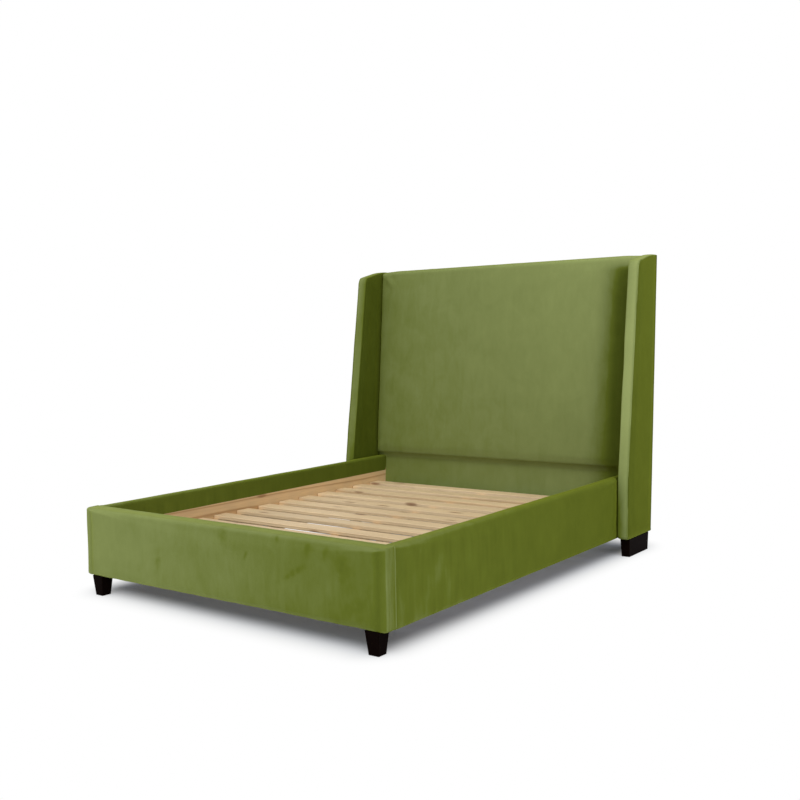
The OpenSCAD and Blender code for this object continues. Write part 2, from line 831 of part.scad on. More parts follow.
module centre_leg(i) {
    half = centre_leg_w / 2;
    color("burlywood")
    difference() {
        slab([-half, centre_leg_y(i) - half, centre_leg_lift], [half, centre_leg_y(i) + half, beam_low]);
        at_hanger_bolt_centre(i) cylinder(r = bolt_hole_r, h = hanger_l);
        translate([0, centre_leg_y(i), centre_leg_lift]) insert_hole(0, stud_l);
    }
}

// Levelling feet: a pad that swivels on the ball of a threaded stud
pad_floor = 2.5;
pad_wall = 3;
pad_bevel = 1;
pad_rim_h = 4;
pad_slope_h = 6;
ball_z = ball_r + pad_floor;
stud_hex_af = 13;
stud_hex_h = 6;
stud_hex_gap = 1;
stud_hex_z = centre_leg_lift - stud_hex_h - stud_hex_gap;
stud_past = 4;
stud_l = insert_l + stud_past;

module level_pad(i) {
    boss_r = ball_r + pad_wall;
    pad_r = pad_d / 2;
    color("#222222")
    translate([0, centre_leg_y(i), 0])
    difference() {
        rotate_extrude()
            polygon([[0, 0], [pad_r - pad_bevel, 0], [pad_r, pad_bevel], [pad_r, pad_rim_h],
                [boss_r + pad_bevel, pad_slope_h], [boss_r, level_pad_h], [0, level_pad_h]]);
        translate([0, 0, ball_z]) sphere(r = ball_r + thread_play);
    }
}

module level_stud(i) {
    color("silver")
    translate([0, centre_leg_y(i), 0]) {
        translate([0, 0, ball_z]) sphere(r = ball_r);
        translate([0, 0, ball_z]) cylinder(r = bolt_r, h = centre_leg_lift + stud_l - ball_z);
        translate([0, 0, stud_hex_z]) cylinder(d = stud_hex_af / cos(30), h = stud_hex_h, $fn = 6);
    }
}

// Slats and the webbing that spaces them
module slat(i) {
    half = x_rail_in - slat_gap;
    color("wheat")
    difference() {
        span_x(-half, half)
            polygon(rounded(
                box_outline([slat_y(i) - slat_w / 2, ledger_top], [slat_y(i) + slat_w / 2, deck_z]),
                slat_round * [1, 1, 1, 1], 3));
        at_slat_screws(i) wood_screw_hole();
    }
}

module slat_webbing() {
    color("gray")
    for (side = [left, right]) on_side(side)
        slab([x_rail_in - web_inset - web_w / 2, slat_y(1) - slat_w / 2 + slat_round, ledger_top - web_t],
            [x_rail_in - web_inset + web_w / 2, slat_y(slat_count) + slat_w / 2 - slat_round, ledger_top]);
}

// Corner brackets of bent steel
module bracket_arm_rail(y0, y1) {
    slab([x_core_in - bracket_t, y0, leg_h + bracket_low], [x_core_in, y1, leg_h + bracket_low + bracket_h]);
}

module foot_brackets() {
    color("silver")
    for (side = [left, right]) on_side(side)
    difference() {
        union() {
            bracket_arm_rail(y_well, y_well + bracket_arm);
            slab([x_core_in - bracket_arm, y_well, leg_h + bracket_low],
                [x_core_in, y_well + bracket_t, leg_h + bracket_low + bracket_h]);
        }
        at_foot_bracket_bolts() through_hole(bracket_t);
        at_rail_bolts_foot() through_hole(bracket_t);
    }
}

module head_brackets() {
    front = apron_depth - bracket_t;
    color("silver")
    for (side = [left, right]) on_side(side)
    difference() {
        union() {
            difference() {
                bracket_arm_rail(rail_end_y - bracket_arm, rail_end_y + bracket_arm);
                behind_head(apron_depth);
            }
            on_head()
                slab([x_core_in - bracket_arm, front, head_v(apron_depth, leg_h + bracket_low)],
                    [x_core_in, apron_depth, head_v(front, leg_h + bracket_low + bracket_h)]);
        }
        at_head_bracket_bolts() through_hole(bracket_t);
        at_rail_bolts_head() through_hole(bracket_t);
    }
}

// Fastenings, grouped by kind
module bracket_bolts() {
    color("lightgray")
    for (side = [left, right]) on_side(side) {
        at_foot_bracket_bolts() bolt(bracket_bolt_l);
        at_rail_bolts_foot() bolt(bracket_bolt_l);
        at_rail_bolts_head() bolt(bracket_bolt_l);
        at_head_bracket_bolts() bolt(head_bolt_l);
    }
}

module wing_bolts() {
    color("lightgray")
    for (side = [left, right]) on_side(side) {
        at_wing_bolts() bolt(wing_bolt_l);
        at_block_bolts() bolt(block_bolt_l);
    }
}

module hanger_bolts() {
    color("lightgray") {
        for (side = [left, right]) on_side(side) at_hanger_bolts_foot() cylinder(r = bolt_r, h = hanger_l);
        for (i = [1 : centre_legs]) at_hanger_bolt_centre(i) cylinder(r = bolt_r, h = hanger_l);
    }
}

module threaded_inserts() {
    color("goldenrod") {
        for (side = [left, right]) on_side(side) {
            at_foot_bracket_bolts() translate([0, 0, bracket_t + skin]) threaded_insert();
            at_rail_bolts_foot() translate([0, 0, bracket_t]) threaded_insert();
            at_rail_bolts_head() translate([0, 0, bracket_t]) threaded_insert();
            at_head_bracket_bolts() translate([0, 0, bracket_t + skin + head_ply_t]) threaded_insert();
            at_wing_bolts() translate([0, 0, wing_bolt_l - insert_l]) threaded_insert();
            at_block_bolts() translate([0, 0, block_insert]) threaded_insert();
            at_hanger_bolts_foot() translate([0, 0, hanger_l - hanger_up + skin]) threaded_insert();
        }
        for (i = [1 : centre_legs]) {
            at_hanger_bolt_centre(i) translate([0, 0, hanger_l - hanger_up]) threaded_insert();
            translate([0, centre_leg_y(i), centre_leg_lift]) threaded_insert();
        }
    }
}

module wood_screws() {
    color("gold") {
        for (i = [1 : slat_count]) at_slat_screws(i) wood_screw();
        for (side = [left, right]) on_side(side) at_ledger_screws() wood_screw(ledger_screw_l);
        at_shoe_screws_foot() wood_screw(shoe_screw_l);
        at_shoe_screws_head() wood_screw(shoe_screw_l);
    }
}

module glides() {
    color("#222222")
    for (side = [left, right]) on_side(side) {
        translate([leg_x, leg_y, 0]) cylinder(d = glide_d, h = glide_t);
        for (y = [block_y0 + glide_d, block_y1 - glide_d])
            translate([(block_x0 + block_x1) / 2, y, 0]) cylinder(d = glide_d, h = glide_t);
    }
}

headboard_frame();
headboard_panel();
headboard_foam();
headboard_cover();
headboard_lining();
wing_frame(left);  // wing_left_frame
wing_frame(right);  // wing_right_frame
wing_foam(left);  // wing_left_foam
wing_foam(right);  // wing_right_foam
wing_cover(left);  // wing_left_cover
wing_cover(right);  // wing_right_cover
wing_foot(left);  // wing_left_foot
wing_foot(right);  // wing_right_foot
footboard_core();
footboard_foam();
footboard_cover();
foot_leg(left);  // foot_leg_left
foot_leg(right);  // foot_leg_right
rail_core(left);  // rail_left_core
rail_core(right);  // rail_right_core
rail_foam(left);  // rail_left_foam
rail_foam(right);  // rail_right_foam
rail_cover(left);  // rail_left_cover
rail_cover(right);  // rail_right_cover
ledger(left);  // ledger_left
ledger(right);  // ledger_right
centre_beam();
beam_shoe_foot();
beam_shoe_head();
slat_webbing();
foot_brackets();
head_brackets();
bracket_bolts();
wing_bolts();
hanger_bolts();
threaded_inserts();
wood_screws();
glides();
for (i = [1 : slat_count]) slat(i);
for (i = [1 : centre_legs]) centre_leg(i);
for (i = [1 : centre_legs]) level_pad(i);
for (i = [1 : centre_legs]) level_stud(i);
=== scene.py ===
"""An upholstered bed frame in olive green velvet: the looks of each piece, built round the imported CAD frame."""
import math

import bmesh
import bpy
from mathutils import Matrix, Vector, noise


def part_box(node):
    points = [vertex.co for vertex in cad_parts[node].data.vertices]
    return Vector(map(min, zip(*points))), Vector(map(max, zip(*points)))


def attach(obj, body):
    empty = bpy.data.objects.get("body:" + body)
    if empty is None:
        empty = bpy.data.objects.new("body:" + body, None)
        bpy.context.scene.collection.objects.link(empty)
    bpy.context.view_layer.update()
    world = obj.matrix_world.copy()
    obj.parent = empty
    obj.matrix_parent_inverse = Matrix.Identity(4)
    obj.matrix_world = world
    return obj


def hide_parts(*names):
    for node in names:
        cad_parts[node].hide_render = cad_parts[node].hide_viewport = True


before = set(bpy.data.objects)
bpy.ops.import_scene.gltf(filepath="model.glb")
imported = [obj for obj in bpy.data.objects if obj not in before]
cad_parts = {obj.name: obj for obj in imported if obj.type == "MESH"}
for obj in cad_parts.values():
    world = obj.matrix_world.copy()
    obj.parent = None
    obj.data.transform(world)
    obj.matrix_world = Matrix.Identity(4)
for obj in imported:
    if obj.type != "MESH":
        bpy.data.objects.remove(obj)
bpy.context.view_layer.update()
bpy.ops.object.select_all(action="DESELECT")


# Camera
# The photograph's own view: a short telephoto lens at chest height, off the bed's right front corner,
# turned 38 degrees to the left and tipped a little down. The small shift frames the bed as the photograph does.
lens_eye = Vector((2.918, -3.962, 1.134))
lens_mm = 45.83
turned_left = 0.6616
tipped_down = 0.0356
tilted = -0.0223
bpy.ops.object.camera_add(location=lens_eye)
camera = bpy.context.object
camera.name = "photo_camera"
camera.data.lens = lens_mm
camera.data.sensor_width = 36
camera.data.shift_x = 0.0490
camera.data.shift_y = -0.0376
aim = (Matrix.Rotation(turned_left, 3, "Z") @ Matrix.Rotation(math.radians(90) - tipped_down, 3, "X")
       @ Matrix.Rotation(tilted, 3, "Z"))
camera.rotation_euler = aim.to_euler()
bpy.context.scene.camera = camera


# Headboard frame and panel
# A glued pine frame of stiles and rails, with a thin plywood panel pinned to its front to carry the foam.
# Both keep their CAD shape and get their timber here.
def new_material(name):
    """An empty material, its node tree and its surface shader"""
    material = bpy.data.materials.new(name)
    material.use_nodes = True
    return material, material.node_tree, material.node_tree.nodes["Principled BSDF"]


def tuned(node, **settings):
    """Sets a shader node. A setting with a capital is a socket, with a small letter a property of the node."""
    for name, value in settings.items():
        if name[0].isupper():
            node.inputs[name.replace("_", " ")].default_value = value
        else:
            setattr(node, name, value)
    return node


def add(tree, kind, **settings):
    """A new shader node with its settings"""
    return tuned(tree.nodes.new("ShaderNode" + kind), **settings)


def wire(tree, *pairs):
    """Links sockets, from the first of each pair to the second"""
    for source, target in pairs:
        tree.links.new(source, target)


def colour_steps(tree, *steps):
    """A colour ramp with one stop for each (place, colour)"""
    ramp = add(tree, "ValToRGB")
    stops = ramp.color_ramp.elements
    while len(stops) < len(steps):
        stops.new(0.5)
    for stop, (place, colour) in zip(stops, steps):
        stop.position = place
        stop.color = (*colour, 1)
    return ramp


def mixed(tree, how, factor, first, second):
    """One colour socket laid over another. The factor is a number or a socket."""
    mix = add(tree, "Mix", data_type="RGBA", blend_type=how)
    if isinstance(factor, (int, float)):
        mix.inputs[0].default_value = factor
    else:
        tree.links.new(factor, mix.inputs[0])
    for source, target in ((first, mix.inputs[6]), (second, mix.inputs[7])):
        if isinstance(source, tuple):
            target.default_value = (*source, 1)
        else:
            tree.links.new(source, target)
    return mix.outputs[2]


def noise_over(tree, stretch=(1, 1, 1), **settings):
    """Noise laid over a piece in its own axes, finer along an axis with a larger stretch"""
    where = add(tree, "TexCoord")
    lay = add(tree, "Mapping", Scale=stretch)
    flecks = add(tree, "TexNoise", **settings)
    wire(tree, (where.outputs["Object"], lay.inputs[0]), (lay.outputs[0], flecks.inputs["Vector"]))
    return flecks.outputs["Fac"]


def levels(tree, flecks, low, high, rim=0.3):
    """Turns noise, nearly all of which lies between rim and 1 - rim, into levels from low to high"""
    level = add(tree, "MapRange", From_Min=rim, From_Max=1 - rim, To_Min=low, To_Max=high)
    wire(tree, (flecks, level.inputs[0]))
    return level.outputs[0]


def stand_up(tree, shader, pattern, strength, height):
    """Lets a pattern stand up a little from the surface"""
    bump = add(tree, "Bump", Strength=strength, Distance=height)
    wire(tree, (pattern, bump.inputs["Height"]), (bump.outputs[0], shader.inputs["Normal"]))


def timber(name, along, pale, dark, ring_gap=0.004, heart=0.22, knots=0.0, roughness=0.6, pores=0.10):
    """Sawn wood: growth rings round a heart that runs along one axis, with pores and knots in line with it"""
    material, tree, shader = new_material(name)

    def drawn_out(across, lengthways):
        """A stretch that has a value of its own along the wood"""
        return [lengthways if axis == along else across for axis in "XYZ"]

    where = add(tree, "TexCoord")
    lay = add(tree, "Mapping", Scale=drawn_out(1.0, 0.12), Location=(heart, heart * 0.7, -heart))
    rings = add(tree, "TexWave", wave_type="RINGS", rings_direction=along, wave_profile="SAW",
                Scale=0.314 / ring_gap, Distortion=9.0, Detail=2.0, Detail_Scale=0.035, Detail_Roughness=0.6)
    grow = colour_steps(tree, (0.0, pale), (0.62, pale), (0.9, dark), (1.0, pale))
    wire(tree, (where.outputs["Object"], lay.inputs[0]), (lay.outputs[0], rings.inputs["Vector"]),
         (rings.outputs["Fac"], grow.inputs[0]))
    pore = noise_over(tree, drawn_out(420.0, 9.0), Scale=1.0, Detail=3.0, Roughness=0.6)
    board = noise_over(tree, drawn_out(9.0, 1.08), Scale=1.0, Detail=2.0)
    colour = mixed(tree, "MULTIPLY", 1.0, grow.outputs[0], levels(tree, pore, 1.0 - pores, 1.0 + pores / 2, 0.35))
    colour = mixed(tree, "MULTIPLY", 1.0, colour, levels(tree, board, 0.88, 1.08))
    if knots:
        knot_lay = add(tree, "Mapping", Scale=drawn_out(11.0, 3.2))
        knot = add(tree, "TexVoronoi", Scale=1.0, Randomness=1.0)
        eye = colour_steps(tree, (0.0, (1, 1, 1)), (0.09, (0.75, 0.75, 0.75)), (0.15, (0.1, 0.1, 0.1)),
                           (0.3, (0, 0, 0)))
        eye_part = add(tree, "Math", operation="MULTIPLY")
        eye_part.inputs[1].default_value = knots
        wire(tree, (where.outputs["Object"], knot_lay.inputs[0]), (knot_lay.outputs[0], knot.inputs["Vector"]),
             (knot.outputs["Distance"], eye.inputs[0]), (eye.outputs[0], eye_part.inputs[0]))
        colour = mixed(tree, "MIX", eye_part.outputs[0], colour, (0.20, 0.085, 0.03))
    wire(tree, (colour, shader.inputs["Base Color"]))
    stand_up(tree, shader, pore, 0.35, 0.0004)
    tuned(shader, Roughness=roughness)
    return material


def give(material, *nodes):
    """Gives CAD nodes their finish"""
    for name in nodes:
        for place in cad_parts[name].material_slots:
            place.material = material


pine = ((0.62, 0.42, 0.22), (0.42, 0.24, 0.10))
give(timber("frame pine", "Z", *pine, knots=0.8), "headboard_frame")
plywood = timber("plywood", "X", (0.55, 0.38, 0.20), (0.43, 0.27, 0.13), ring_gap=0.018, heart=0.6, roughness=0.7)
give(plywood, "headboard_panel")


# Headboard upholstery
# A thick foam pad glued to the panel under one piece of velvet, which is pulled over the frame's edges and
# stapled behind. It is plain and untufted, soft at its rim and a little crowned.
def block(name, low, high):
    """A plain block between two corners, to be sawn and rounded"""
    bpy.ops.object.select_all(action="DESELECT")
    low, high = Vector(low), Vector(high)
    bpy.ops.mesh.primitive_cube_add(size=1, location=(low + high) / 2, scale=high - low)
    piece = bpy.context.object
    piece.name = piece.data.name = name
    bpy.ops.object.transform_apply(location=True, rotation=True, scale=True)
    return piece


def pick(piece, kind, test):
    """Selects the edges or faces of a piece whose middle and own data pass a test, and leaves it open for edits"""
    bpy.ops.object.mode_set(mode="EDIT")
    bpy.ops.mesh.select_mode(type=kind)
    bpy.ops.mesh.select_all(action="DESELECT")
    shape = bmesh.from_edit_mesh(piece.data)
    for part in shape.edges if kind == "EDGE" else shape.faces:
        middle = sum((corner.co for corner in part.verts), Vector()) / len(part.verts)
        part.select_set(bool(test(middle, part)))
    shape.select_flush_mode()
    bmesh.update_edit_mesh(piece.data)


def close_edit():
    """Ends the edits that pick and score begin"""
    bpy.ops.object.mode_set(mode="OBJECT")


def score(piece, at, facing, **parting):
    """Cuts a line round a piece where a plane goes through it"""
    pick(piece, "FACE", lambda middle, face: True)
    bpy.ops.mesh.bisect(plane_co=at, plane_no=facing, **parting)


def saw(piece, at, facing):
    """Saws a piece through; what lies beyond the cut falls away, and the cut is closed"""
    score(piece, at, facing, use_fill=True, clear_outer=True)
    close_edit()


def round_off(piece, radius, steps, test):
    """Rounds the edges that pass a test, given the edge's middle and its direction"""
    def passes(middle, edge):
        return test(middle, (edge.verts[1].co - edge.verts[0].co).normalized())
    pick(piece, "EDGE", passes)
    bpy.ops.mesh.bevel(offset=radius, offset_type="OFFSET", segments=steps, affect="EDGES", clamp_overlap=True)
    close_edit()


def round_each(piece, steps, radius):
    """Rounds every edge at once, each to its own radius"""
    shape = piece.data
    lines = [(shape.vertices[a].co, shape.vertices[b].co) for a, b in (edge.vertices for edge in shape.edges)]
    radii = [radius((a + b) / 2, (b - a).normalized()) for a, b in lines]
    weights = shape.attributes.new("bevel_weight_edge", "FLOAT", "EDGE")
    weights.data.foreach_set("value", [r / max(radii) for r in radii])
    apply_modifier(piece, "BEVEL", width=max(radii), segments=steps, limit_method="WEIGHT")


def apply_modifier(piece, kind, **settings):
    """Runs one modifier on a piece for good"""
    bpy.context.view_layer.objects.active = piece
    modifier = piece.modifiers.new(kind.lower(), kind)
    for name, value in settings.items():
        setattr(modifier, name, value)
    bpy.ops.object.modifier_apply(modifier=modifier.name)


def even_mesh(piece, gap):
    """Lays even squares over the piece, as cloth needs"""
    apply_modifier(piece, "REMESH", mode="VOXEL", voxel_size=gap)


def swell(piece, held, reach):
    """Lets the foam push the cover out where it isn't held, no further than reach"""
    last_moment = 20
    start = [corner.co.copy() for corner in piece.data.vertices]
    fixed = [corner.index for corner in piece.data.vertices if held(corner.co, corner.normal)]
    piece.vertex_groups.new(name="held").add(fixed, 1.0, "REPLACE")
    bpy.context.view_layer.objects.active = piece
    cloth = piece.modifiers.new("velvet", "CLOTH")
    cloth.settings.quality = 5
    cloth.settings.mass = 0.3
    cloth.settings.tension_stiffness = cloth.settings.compression_stiffness = 15
    cloth.settings.bending_stiffness = 0.5
    cloth.settings.vertex_group_mass = "held"
    cloth.settings.use_pressure = True
    cloth.settings.uniform_pressure_force = 4.0
    cloth.settings.effector_weights.gravity = 0
    cloth.point_cache.frame_end = last_moment
    for moment in range(1, last_moment + 1):
        bpy.context.scene.frame_set(moment)
    bpy.ops.object.modifier_apply(modifier=cloth.name)
    bpy.context.scene.frame_set(1)
    piece.vertex_groups.clear()
    for corner, was in zip(piece.data.vertices, start):
        move = corner.co - was
        if move.length > reach:
            corner.co = was + move * (reach / move.length)


def refine(piece):
    """Halves the squares and smooths them"""
    apply_modifier(piece, "SUBSURF", levels=1, render_levels=1)


def press(piece, amount):
    """Moves each corner along its own normal by amount(place, normal), in metres"""
    shape = piece.data
    moves = [corner.normal * amount(corner.co, corner.normal) for corner in shape.vertices]
    for corner, move in zip(shape.vertices, moves):
        corner.co += move


def ease(value, low, high):
    """0 below low, 1 above high, and a smooth rise between them"""
    part = min(1.0, max(0.0, (value - low) / (high - low)))
    return part * part * (3 - 2 * part)


def velvet(name):
    """Short cotton pile: its colour follows the tone painted on each place, which holds the way the pile lies as
    well as painted sheen, light and shade; hands leave marks in it, and its edges catch the light
    """
    material, tree, shader = new_material(name)
    # The tone painted on each place: the way the pile lies, with painted sheen, highlights and shade
    nap_and_painted_light = add(tree, "Attribute", attribute_name="nap_and_painted_light")
    marks = noise_over(tree, Scale=5.5, Detail=3.0, Roughness=0.55, Distortion=1.2)
    brushed = noise_over(tree, (26.0, 26.0, 7.0), Scale=1.0, Detail=4.0, Roughness=0.65, Distortion=0.6)
    fibre = noise_over(tree, Scale=900.0, Detail=2.0, Roughness=0.7)
    first = add(tree, "Math", operation="ADD")
    second = add(tree, "Math", operation="ADD", use_clamp=True)
    # From the pile's deep colour at a low tone to a paler, greyer one at a high tone, where painted sheen lifts it
    pile = colour_steps(tree, (0.0, (0.034, 0.047, 0.003)), (0.4, (0.104, 0.132, 0.017)),
                        (0.6, (0.178, 0.214, 0.070)), (1.0, (0.300, 0.352, 0.128)))
    wire(tree, (nap_and_painted_light.outputs["Fac"], first.inputs[0]), (levels(tree, marks, -0.03, 0.03), first.inputs[1]),
         (first.outputs[0], second.inputs[0]), (levels(tree, brushed, -0.025, 0.025), second.inputs[1]),
         (second.outputs[0], pile.inputs[0]))
    colour = mixed(tree, "MULTIPLY", 1.0, pile.outputs[0], levels(tree, fibre, 0.86, 1.12))
    wire(tree, (colour, shader.inputs["Base Color"]))
    stand_up(tree, shader, fibre, 0.25, 0.0005)
    tuned(shader, Roughness=0.9, Specular_IOR_Level=0.03, Sheen_Weight=0.25, Sheen_Roughness=0.45,
          Sheen_Tint=(0.80, 0.92, 0.06, 1))
    return material


def edge_highlight(normal):
    """0 on a flat face, 1 halfway over a top or bottom edge, where a highlight is painted into the pile's tone"""
    return 4 * normal.z ** 2 * (1 - normal.z ** 2)


def upholstered(piece, tone, *nodes):
    """Gives a finished padded piece its painted tone (the way the pile lies, with painted sheen, light and shade),
    velvet and place in the bed, where it stands for its CAD nodes
    """
    lay = piece.data.attributes.new("nap_and_painted_light", "FLOAT", "POINT")
    lay.data.foreach_set("value", [tone(corner.co, corner.normal) for corner in piece.data.vertices])
    piece.data.materials.clear()
    piece.data.materials.append(olive_velvet)
    bpy.context.view_layer.objects.active = piece
    piece.select_set(True)
    bpy.ops.object.shade_smooth()
    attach(piece, "frame")
    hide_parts(*nodes)


olive_velvet = velvet("olive velvet")
well_long = 2.050
above_rail = 0.012
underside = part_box("footboard_cover")[0].z
lean = math.radians(5.1)
head_foot = Vector((0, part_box("footboard_cover")[1].y + well_long, underside))
head_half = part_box("headboard_cover")[1].x
head_depth = 0.090
pad_depth = 0.045
head_low = head_depth * math.tan(lean)
head_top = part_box("headboard_cover")[1].z
head_high = (head_top - underside) / math.cos(lean)
rail_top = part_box("footboard_cover")[1].z
pad_low = (rail_top + above_rail - underside + pad_depth * math.sin(lean)) / math.cos(lean)
slack = 0.0020  # how far the pad's front starts behind the CAD cover's, for the foam to push out
shy = 0.0003  # how far its other sides stay inside the CAD cover's
pad_back = 0.0885


def lean_back(piece):
    """Leans an upright piece back about the foot of the headboard's front"""
    piece.location = head_foot
    piece.rotation_euler = (-lean, 0, 0)
    bpy.ops.object.select_all(action="DESELECT")
    piece.select_set(True)
    bpy.context.view_layer.objects.active = piece
    bpy.ops.object.transform_apply(location=True, rotation=True, scale=True)


head_pad = block("headboard_upholstery", (shy - head_half, slack, pad_low),
                 (head_half - shy, pad_back, head_high))
score(head_pad, (0, pad_depth - 0.0015, 0), (0, 1, 0))
pick(head_pad, "FACE", lambda middle, face: face.normal.z < -0.9 and middle.y > pad_depth)
bpy.ops.mesh.extrude_region_move(TRANSFORM_OT_translate={"value": (0, 0, head_low - pad_low)})
close_edit()
round_off(head_pad, 0.014, 5, lambda middle, line: middle.y < 0.01 and abs(line.z) > 0.9)
round_off(head_pad, 0.017, 5, lambda middle, line: middle.y < 0.03 and abs(line.z) < 0.1 and abs(line.y) < 0.98)
round_off(head_pad, 0.004, 2, lambda middle, line: middle.y > 0.08 and abs(line.y) < 0.1)
even_mesh(head_pad, 0.0125)
swell(head_pad, lambda place, normal: place.y > 0.035, reach=0.005)
refine(head_pad)


def head_hollow(place, normal):
    """Rim pulls at the staples' pitch, and a hollow behind, where the timber shows"""
    rim = math.exp(-(min(head_half - abs(place.x), head_high - place.z) / 0.05) ** 2)
    ripple = 0.0012 * noise.noise(Vector((place.x * 9, 0, place.z * 9))) * (0.35 + rim)
    return ripple - (0.009 if normal.y > 0.5 and place.y > 0.08 else 0)


def crown(piece):
    """Raises a piece's top a little between its rounded ends, and over the timber behind the foam"""
    for corner in piece.data.vertices:
        rise = (head_crown * ease(head_half - abs(corner.co.x), 0.0, crown_reach)
                + back_rise * ease(corner.co.y, 0.02, 0.04))
        corner.co.z += rise * ease(corner.co.z, head_high - 0.05, head_high - 0.01)


head_crown = 0.0045
crown_reach = 0.11
back_rise = 0.002
press(head_pad, head_hollow)
crown(head_pad)
lean_back(head_pad)


def head_tone(place, normal):
    """Painted light and shade: lighter up and to the right as the light falls, painted shade where the pad rolls
    in beside the right wing, and a painted highlight over the top edge
    """
    if normal.y > 0.3:
        return 0.45
    across = place.x / head_half
    up = ease(place.z, rail_top - 0.1, rail_top + 1.2)
    from_side = head_half - abs(place.x)
    # Painted shade where the pad rolls in beside the right wing: wider low down, and fading out just below the top
    # edge; none on the left
    if place.x > 0:
        deepest = 0.125 - 0.025 * up - 0.015 * ease(up, 0.8, 1.0)
        crease_shade = (0.33 * (1 - ease(from_side, 0.12, 0.23 + 0.08 * (1 - up)))
                  + (0.14 + 0.10 * up) * (1 - ease(from_side, deepest, deepest + 0.06)))
        crease_shade *= 1 - ease(place.z, head_top - 0.080, head_top - 0.022)
    else:
        crease_shade = 0
    return 0.615 + 0.14 * across * (0.6 + 0.4 * up) + 0.08 * (up - 0.5) - crease_shade + 0.12 * edge_highlight(normal)


upholstered(head_pad, head_tone, "headboard_cover", "headboard_foam")
turned_edge = block("headboard_turned_edge", (shy - head_half, pad_depth - shy, head_low + shy),
                    (head_half - shy, pad_back, head_high - shy))
pick(turned_edge, "FACE", lambda middle, face: abs(face.normal.y) > 0.9)
bpy.ops.mesh.inset(thickness=0.040, depth=0, use_boundary=True)
bpy.ops.mesh.bridge_edge_loops()
close_edit()
round_off(turned_edge, 0.0015, 3, lambda middle, line: middle.y > 0.088)
crown_steps = 8
for step in range(1, crown_steps + 1):
    for side in (-1, 1):
        score(turned_edge, (side * (head_half - crown_reach * step / crown_steps), 0, 0), (1, 0, 0))
close_edit()
crown(turned_edge)
lean_back(turned_edge)
upholstered(turned_edge, head_tone, "headboard_cover")


# Back lining
# A black non-woven cloth, folded under at its edge and stapled over the open timber at the back. It is drawn
# tight, and dips a little between the timbers.
def cambric(name):
    """Spun-bonded cloth: black, thin and dull, with rows of tiny pressed dots"""
    material, tree, shader = new_material(name)
    where = add(tree, "TexCoord")
    dots = add(tree, "TexVoronoi", Scale=420.0, Randomness=0.7)
    dot_tone = colour_steps(tree, (0.0, (0.014, 0.014, 0.015)), (0.35, (0.018, 0.018, 0.019)),
                            (0.6, (0.024, 0.024, 0.025)))
    cloud = noise_over(tree, Scale=30.0, Detail=3.0)
    wire(tree, (where.outputs["Object"], dots.inputs["Vector"]), (dots.outputs["Distance"], dot_tone.inputs[0]))
    colour = mixed(tree, "MULTIPLY", 1.0, dot_tone.outputs[0], levels(tree, cloud, 0.85, 1.2))
    wire(tree, (colour, shader.inputs["Base Color"]))
    stand_up(tree, shader, dots.outputs["Distance"], 0.5, 0.0004)
    tuned(shader, Roughness=0.85, Sheen_Weight=0.2)
    return material


def cloth(name, squares, size, middle, turn=0.0):
    """A flat cloth of even squares, so many across and along, turned about X"""
    bpy.ops.object.select_all(action="DESELECT")
    bpy.ops.mesh.primitive_grid_add(x_subdivisions=squares[0], y_subdivisions=squares[1], size=1, location=middle,
                                    rotation=(turn, 0, 0))
    piece = bpy.context.object
    piece.name = piece.data.name = name
    piece.scale = (*size, 1)
    bpy.ops.object.transform_apply(location=True, rotation=True, scale=True)
    return piece


lining_margin = 0.010
lining_half = head_half - lining_margin
lining_low = head_low + lining_margin
lining_high = head_high - lining_margin
lining_size = (2 * lining_half, lining_high - lining_low)
lining_thick = 0.0004
outer_timber, middle_rail, top_rail, centre_half = 0.1215, 0.09, 0.0915, 0.05  # how wide the timbers look
stile_in = head_half - outer_timber
bays_across = [(-stile_in, -centre_half), (centre_half, stile_in)]
bays_up = [(head_low + outer_timber, pad_low), (pad_low + middle_rail, head_high - top_rail)]
lining = cloth("headboard_lining_cloth", (84, 72), lining_size,
               (0, head_depth - lining_thick, (lining_low + lining_high) / 2), turn=math.radians(90))


def bay_dip(place):
    """How deep the cloth dips at a place: most in the middle of each open bay"""
    dip = 0.0
    for x0, x1 in bays_across:
        for z0, z1 in bays_up:
            if x0 < place.x < x1 and z0 < place.z < z1:
                dip = 0.004 * (math.sin(math.pi * (place.x - x0) / (x1 - x0))
                               * math.sin(math.pi * (place.z - z0) / (z1 - z0))) ** 0.6
    rim = min(lining_half - abs(place.x), place.z - lining_low, lining_high - place.z)
    pull = 0.0012 * math.exp(-rim / 0.03) * math.sin(2 * math.pi * (place.x + place.z) / 0.06)
    return dip + max(0.0, pull) + 0.0006 * noise.noise(place * 14)


for corner in lining.data.vertices:
    corner.co.y -= bay_dip(corner.co)
apply_modifier(lining, "SOLIDIFY", thickness=lining_thick, offset=0)
lean_back(lining)
lining.data.materials.append(cambric("black lining"))
bpy.ops.object.shade_smooth()
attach(lining, "frame")
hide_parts("headboard_lining")


# Staples
# Fine zinc wire staples, shot through the edge of the lining and through the velvet's turned edges.
def zinc(name, roughness, colour=(0.62, 0.63, 0.64)):
    """Zinc plate: bright, slightly clouded, with faint brush lines"""
    material, tree, shader = new_material(name)
    cloud = noise_over(tree, Scale=45.0, Detail=4.0, Roughness=0.6)
    brush = noise_over(tree, (900.0, 60.0, 60.0), Scale=1.0, Detail=2.0)
    tone = colour_steps(tree, (0.3, tuple(c * 0.78 for c in colour)), (0.7, colour))
    wire(tree, (cloud, tone.inputs[0]), (tone.outputs[0], shader.inputs["Base Color"]),
         (levels(tree, cloud, roughness - 0.10, roughness + 0.12), shader.inputs["Roughness"]))
    stand_up(tree, shader, brush, 0.12, 0.0002)
    tuned(shader, Metallic=1.0)
    return material


